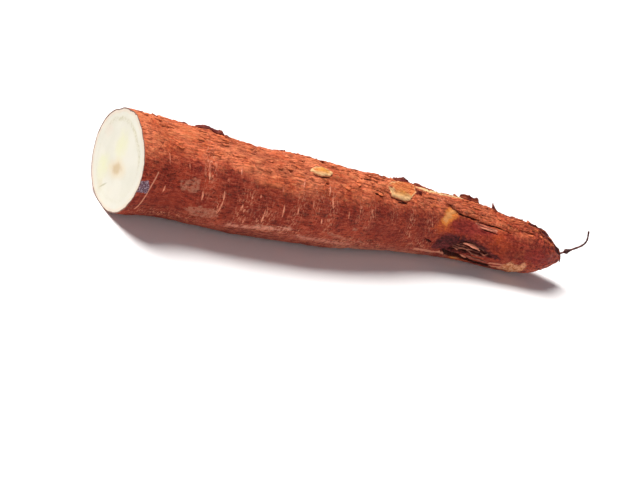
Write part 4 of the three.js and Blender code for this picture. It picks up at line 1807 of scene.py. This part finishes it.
# %% The cut flesh material
def flesh_material():
    """Returns the material of the knife face."""
    material, tree, shader, place = new_material("cut cassava flesh")
    cloud, grit = noise(tree, place, 60.0, 4.0), noise(tree, place, 800.0, 3.0, 0.7)
    rim = attribute(tree, "rim_mm")
    on_ring = ring_of_vessels(tree, place, rim)
    smudge = both(tree, on_ring, between(tree, cloud, 0.36, 0.62))
    dots = both(tree, on_ring, between(tree, grit, 0.46, 0.60))
    flesh = tinted_flesh(tree, place, cloud)
    flesh = laid(tree, flesh, smudge, 0.50, shown(190, 186, 154))
    flesh = laid(tree, flesh, dots, 0.60, shown(170, 164, 136))
    flesh = painted(tree, flesh, [(rim, 3.0, 1.6, 0.55, (208, 188, 168))])
    ragged_rim = raised(tree, rim, noise(tree, place, 380.0, 3.0), -1.1)
    colour = mix(tree, between(tree, ragged_rim, 0.30, 0.0), flesh, shown(98, 58, 46))
    tree.links.new(colour, shader.inputs["Base Color"])
    tree.links.new(calculate(tree, "MULTIPLY_ADD", grit, 0.3, 0.40), shader.inputs["Roughness"])
    shader.inputs["Subsurface Weight"].default_value = 0.25
    shader.inputs["Subsurface Radius"].default_value = (1.0, 0.8, 0.5)
    shader.inputs["Subsurface Scale"].default_value = 0.002
    shader.inputs["Specular IOR Level"].default_value = 0.4
    knife_marks = noise(tree, stretched(tree, place, (1.0, 0.18, 1.0)), 700.0, 2.0)
    height = raised(tree, knife_marks, grit, 0.6)
    bump = add(tree, "Bump", {"Height": height, "Strength": 0.35, "Distance": 0.0002})
    tree.links.new(bump.outputs["Normal"], shader.inputs["Normal"])
    return material


# %% [markdown]
# ## Chips, splinters, pores and rootlet
# These small pieces share one recipe: a dark and a light tone mixed by the
# number stored on each piece, varied by the shared grain. Splinters are pale
# torn fibre, pores are cork, and the rootlet is dark and slightly glossy.


# %% The small pieces' materials
def fibre_material(name, dark, light, roughness, bump, tone=None):
    """A dry fibre finish between two colours; `tone` names the attribute
    that chooses between them, and without it the grain alone does."""
    material, tree, shader, place = new_material(name)
    grain_values = grain_in(tree, place, 1300.0, 220.0, 2400.0)
    share = between(tree, grain_values["Mottling"], 0.34, 0.66)
    if tone:
        varied = calculate(tree, "SUBTRACT", share, 0.5)
        share = raised(tree, attribute(tree, tone), varied, 0.35)
    colour = mix(tree, share, dark, light)
    lines = between(tree, grain_values["Streaks"], 0.5, 0.66)
    colour = laid(tree, colour, lines, 0.4, (*(0.45 * value for value in dark[:3]), 1.0))
    tree.links.new(colour, shader.inputs["Base Color"])
    rough = calculate(tree, "MULTIPLY_ADD", grain_values["Specks"], 0.3, roughness)
    tree.links.new(rough, shader.inputs["Roughness"])
    shader.inputs["Specular IOR Level"].default_value = 0.35
    inputs = {"Height": grain_values["Height"], "Strength": 0.7, "Distance": bump}
    tree.links.new(add(tree, "Bump", inputs).outputs["Normal"], shader.inputs["Normal"])
    return material


# %% [markdown]
# ## Every piece gets its material
# The root wears bark and flesh, in the order of its two slots. Each small piece
# wears the fibre finish with its own two tones.

# %% Every piece gets its material
# piece, name, dark and light tone, roughness, depth of the bump in metres, and
# the number that chooses between the tones
FIBRES = [
    (chips, "curled dry bark", (92, 16, 9), (236, 124, 74), 0.5, 0.0004, "tone"),
    (pores, "corky pores", (180, 88, 62), (236, 152, 118), 0.6, 0.0003, None),
    (splinters, "torn fibre", (70, 14, 8), (244, 154, 122), 0.5, 0.0003, "tone"),
    (rootlet, "wiry rootlet skin", (48, 12, 8), (98, 34, 22), 0.4, 0.0003, None),
]
root.data.materials.append(bark_material())
root.data.materials.append(flesh_material())
for piece, name, dark, light, roughness, bump, tone in FIBRES:
    finish = fibre_material(name, shown(*dark), shown(*light), roughness, bump, tone)
    piece.data.materials.append(finish)
print("materials", [material.name for material in bpy.data.materials])

# %% [markdown]
# ## The floor
# The root lies on a wide white table that runs out to the horizon. It is one
# quad, and a faint paper grain keeps it from looking like empty background.

# %% The floor
# in metres, each way from the middle
FLOOR_REACH = 14.0
floor_corners = np.array([[-1, -1, 0], [1, -1, 0], [1, 1, 0], [-1, 1, 0]]) * FLOOR_REACH
floor = make_piece("white_floor", floor_corners, [np.array([[0, 1, 2, 3]])])
floor_material, floor_tree, floor_shader, floor_place = new_material("white table")
paper = noise(floor_tree, floor_place, 500.0, 2.0)
floor_colour = mix(floor_tree, paper, (0.90, 0.90, 0.905, 1), (0.93, 0.93, 0.93, 1))
floor_tree.links.new(floor_colour, floor_shader.inputs["Base Color"])
floor_shader.inputs["Roughness"].default_value = 0.9
floor_shader.inputs["Specular IOR Level"].default_value = 0.1
floor.data.materials.append(floor_material)

# %% [markdown]
# ## Light and room
# A sun lamp, high and a little behind the root, lights the whole floor evenly,
# and its wide angle makes the shadow soft. A weak side lamp fills in the front,
# and the room's faint rosy light tints what neither reaches. A bright room
# would wash out the shadow, so it is bright to the camera only, through the Is
# Camera Ray output.

# %% Light and room
room = bpy.data.worlds.new("white room")
room.use_nodes = True
backdrop = room.node_tree.nodes["Background"]
backdrop.inputs["Color"].default_value = (1.0, 0.80, 0.88, 1)
ROOM_LIGHT, ROOM_SEEN = 0.14, 1.1
seen = add(room.node_tree, "LightPath").outputs["Is Camera Ray"]
strength = calculate(room.node_tree, "MULTIPLY_ADD", seen, ROOM_SEEN - ROOM_LIGHT, ROOM_LIGHT)
room.node_tree.links.new(strength, backdrop.inputs["Strength"])
bpy.context.scene.world = room


def aimed(name, lamp, direction, distance):
    """A lamp placed in this direction from the root and turned to face it."""
    holder = bpy.data.objects.new(name, lamp)
    toward = mathutils.Vector(direction).normalized()
    holder.location = toward * distance
    holder.rotation_euler = toward.to_track_quat("Z", "Y").to_euler()
    bpy.context.collection.objects.link(holder)
    return holder


# the direction of each lamp from the root, and its distance in metres
OVERHEAD_DIRECTION, OVERHEAD_DISTANCE = (-0.36, 0.42, 0.84), 3.0
FILL_DIRECTION, FILL_DISTANCE = (-0.45, -0.85, 0.30), 1.8
overhead = bpy.data.lights.new("overhead lamp", "SUN")
overhead.angle = math.radians(36)
overhead.energy = 5.2
overhead.color = (1.0, 0.98, 0.955)
aimed("overhead lamp", overhead, OVERHEAD_DIRECTION, OVERHEAD_DISTANCE)
side_fill = bpy.data.lights.new("side fill", "AREA")
side_fill.size = 1.2
side_fill.energy = 10.0
aimed("side fill", side_fill, FILL_DIRECTION, FILL_DISTANCE)
# colours are shown as they are, with no film-like curve over them
bpy.context.scene.view_settings.view_transform = "Standard"
print("lamps", [lamp.name for lamp in bpy.data.lights])

# %% [markdown]
# ## The camera
# The lens looks down on the root from the cut end's side. The camera is tipped
# sideways as well, which makes the root run downhill across the picture. On a
# floor with no edges nothing gives the tilt away.

# %% The camera
# the place it looks at and how far off it stands, in metres
AIM = np.array([-23.3, 1.3, -0.9]) * MM
CAMERA_DISTANCE = 0.9057
ROUND, ABOVE, TIPPED = math.radians(36.5), math.radians(24.0), math.radians(26.7)
# focal length and sensor in mm, farthest distance seen in metres
lens = bpy.data.cameras.new("product lens")
lens.lens = 85
lens.sensor_width = 36
lens.clip_end = 60
camera = bpy.data.objects.new("product lens", lens)
flat = math.cos(ABOVE)
backwards = mathutils.Vector((-math.sin(ROUND) * flat, -math.cos(ROUND) * flat, math.sin(ABOVE)))
level = mathutils.Vector((math.cos(ROUND), -math.sin(ROUND), 0))
upright = backwards.cross(level)
right = level * math.cos(TIPPED) + upright * math.sin(TIPPED)
turned = mathutils.Matrix((right, backwards.cross(right), backwards)).transposed().to_4x4()
stand = AIM + CAMERA_DISTANCE * np.array(backwards)
camera.matrix_world = mathutils.Matrix.Translation(stand) @ turned
bpy.context.collection.objects.link(camera)
bpy.context.scene.camera = camera
print("camera at", [round(value, 3) for value in camera.matrix_world.translation])
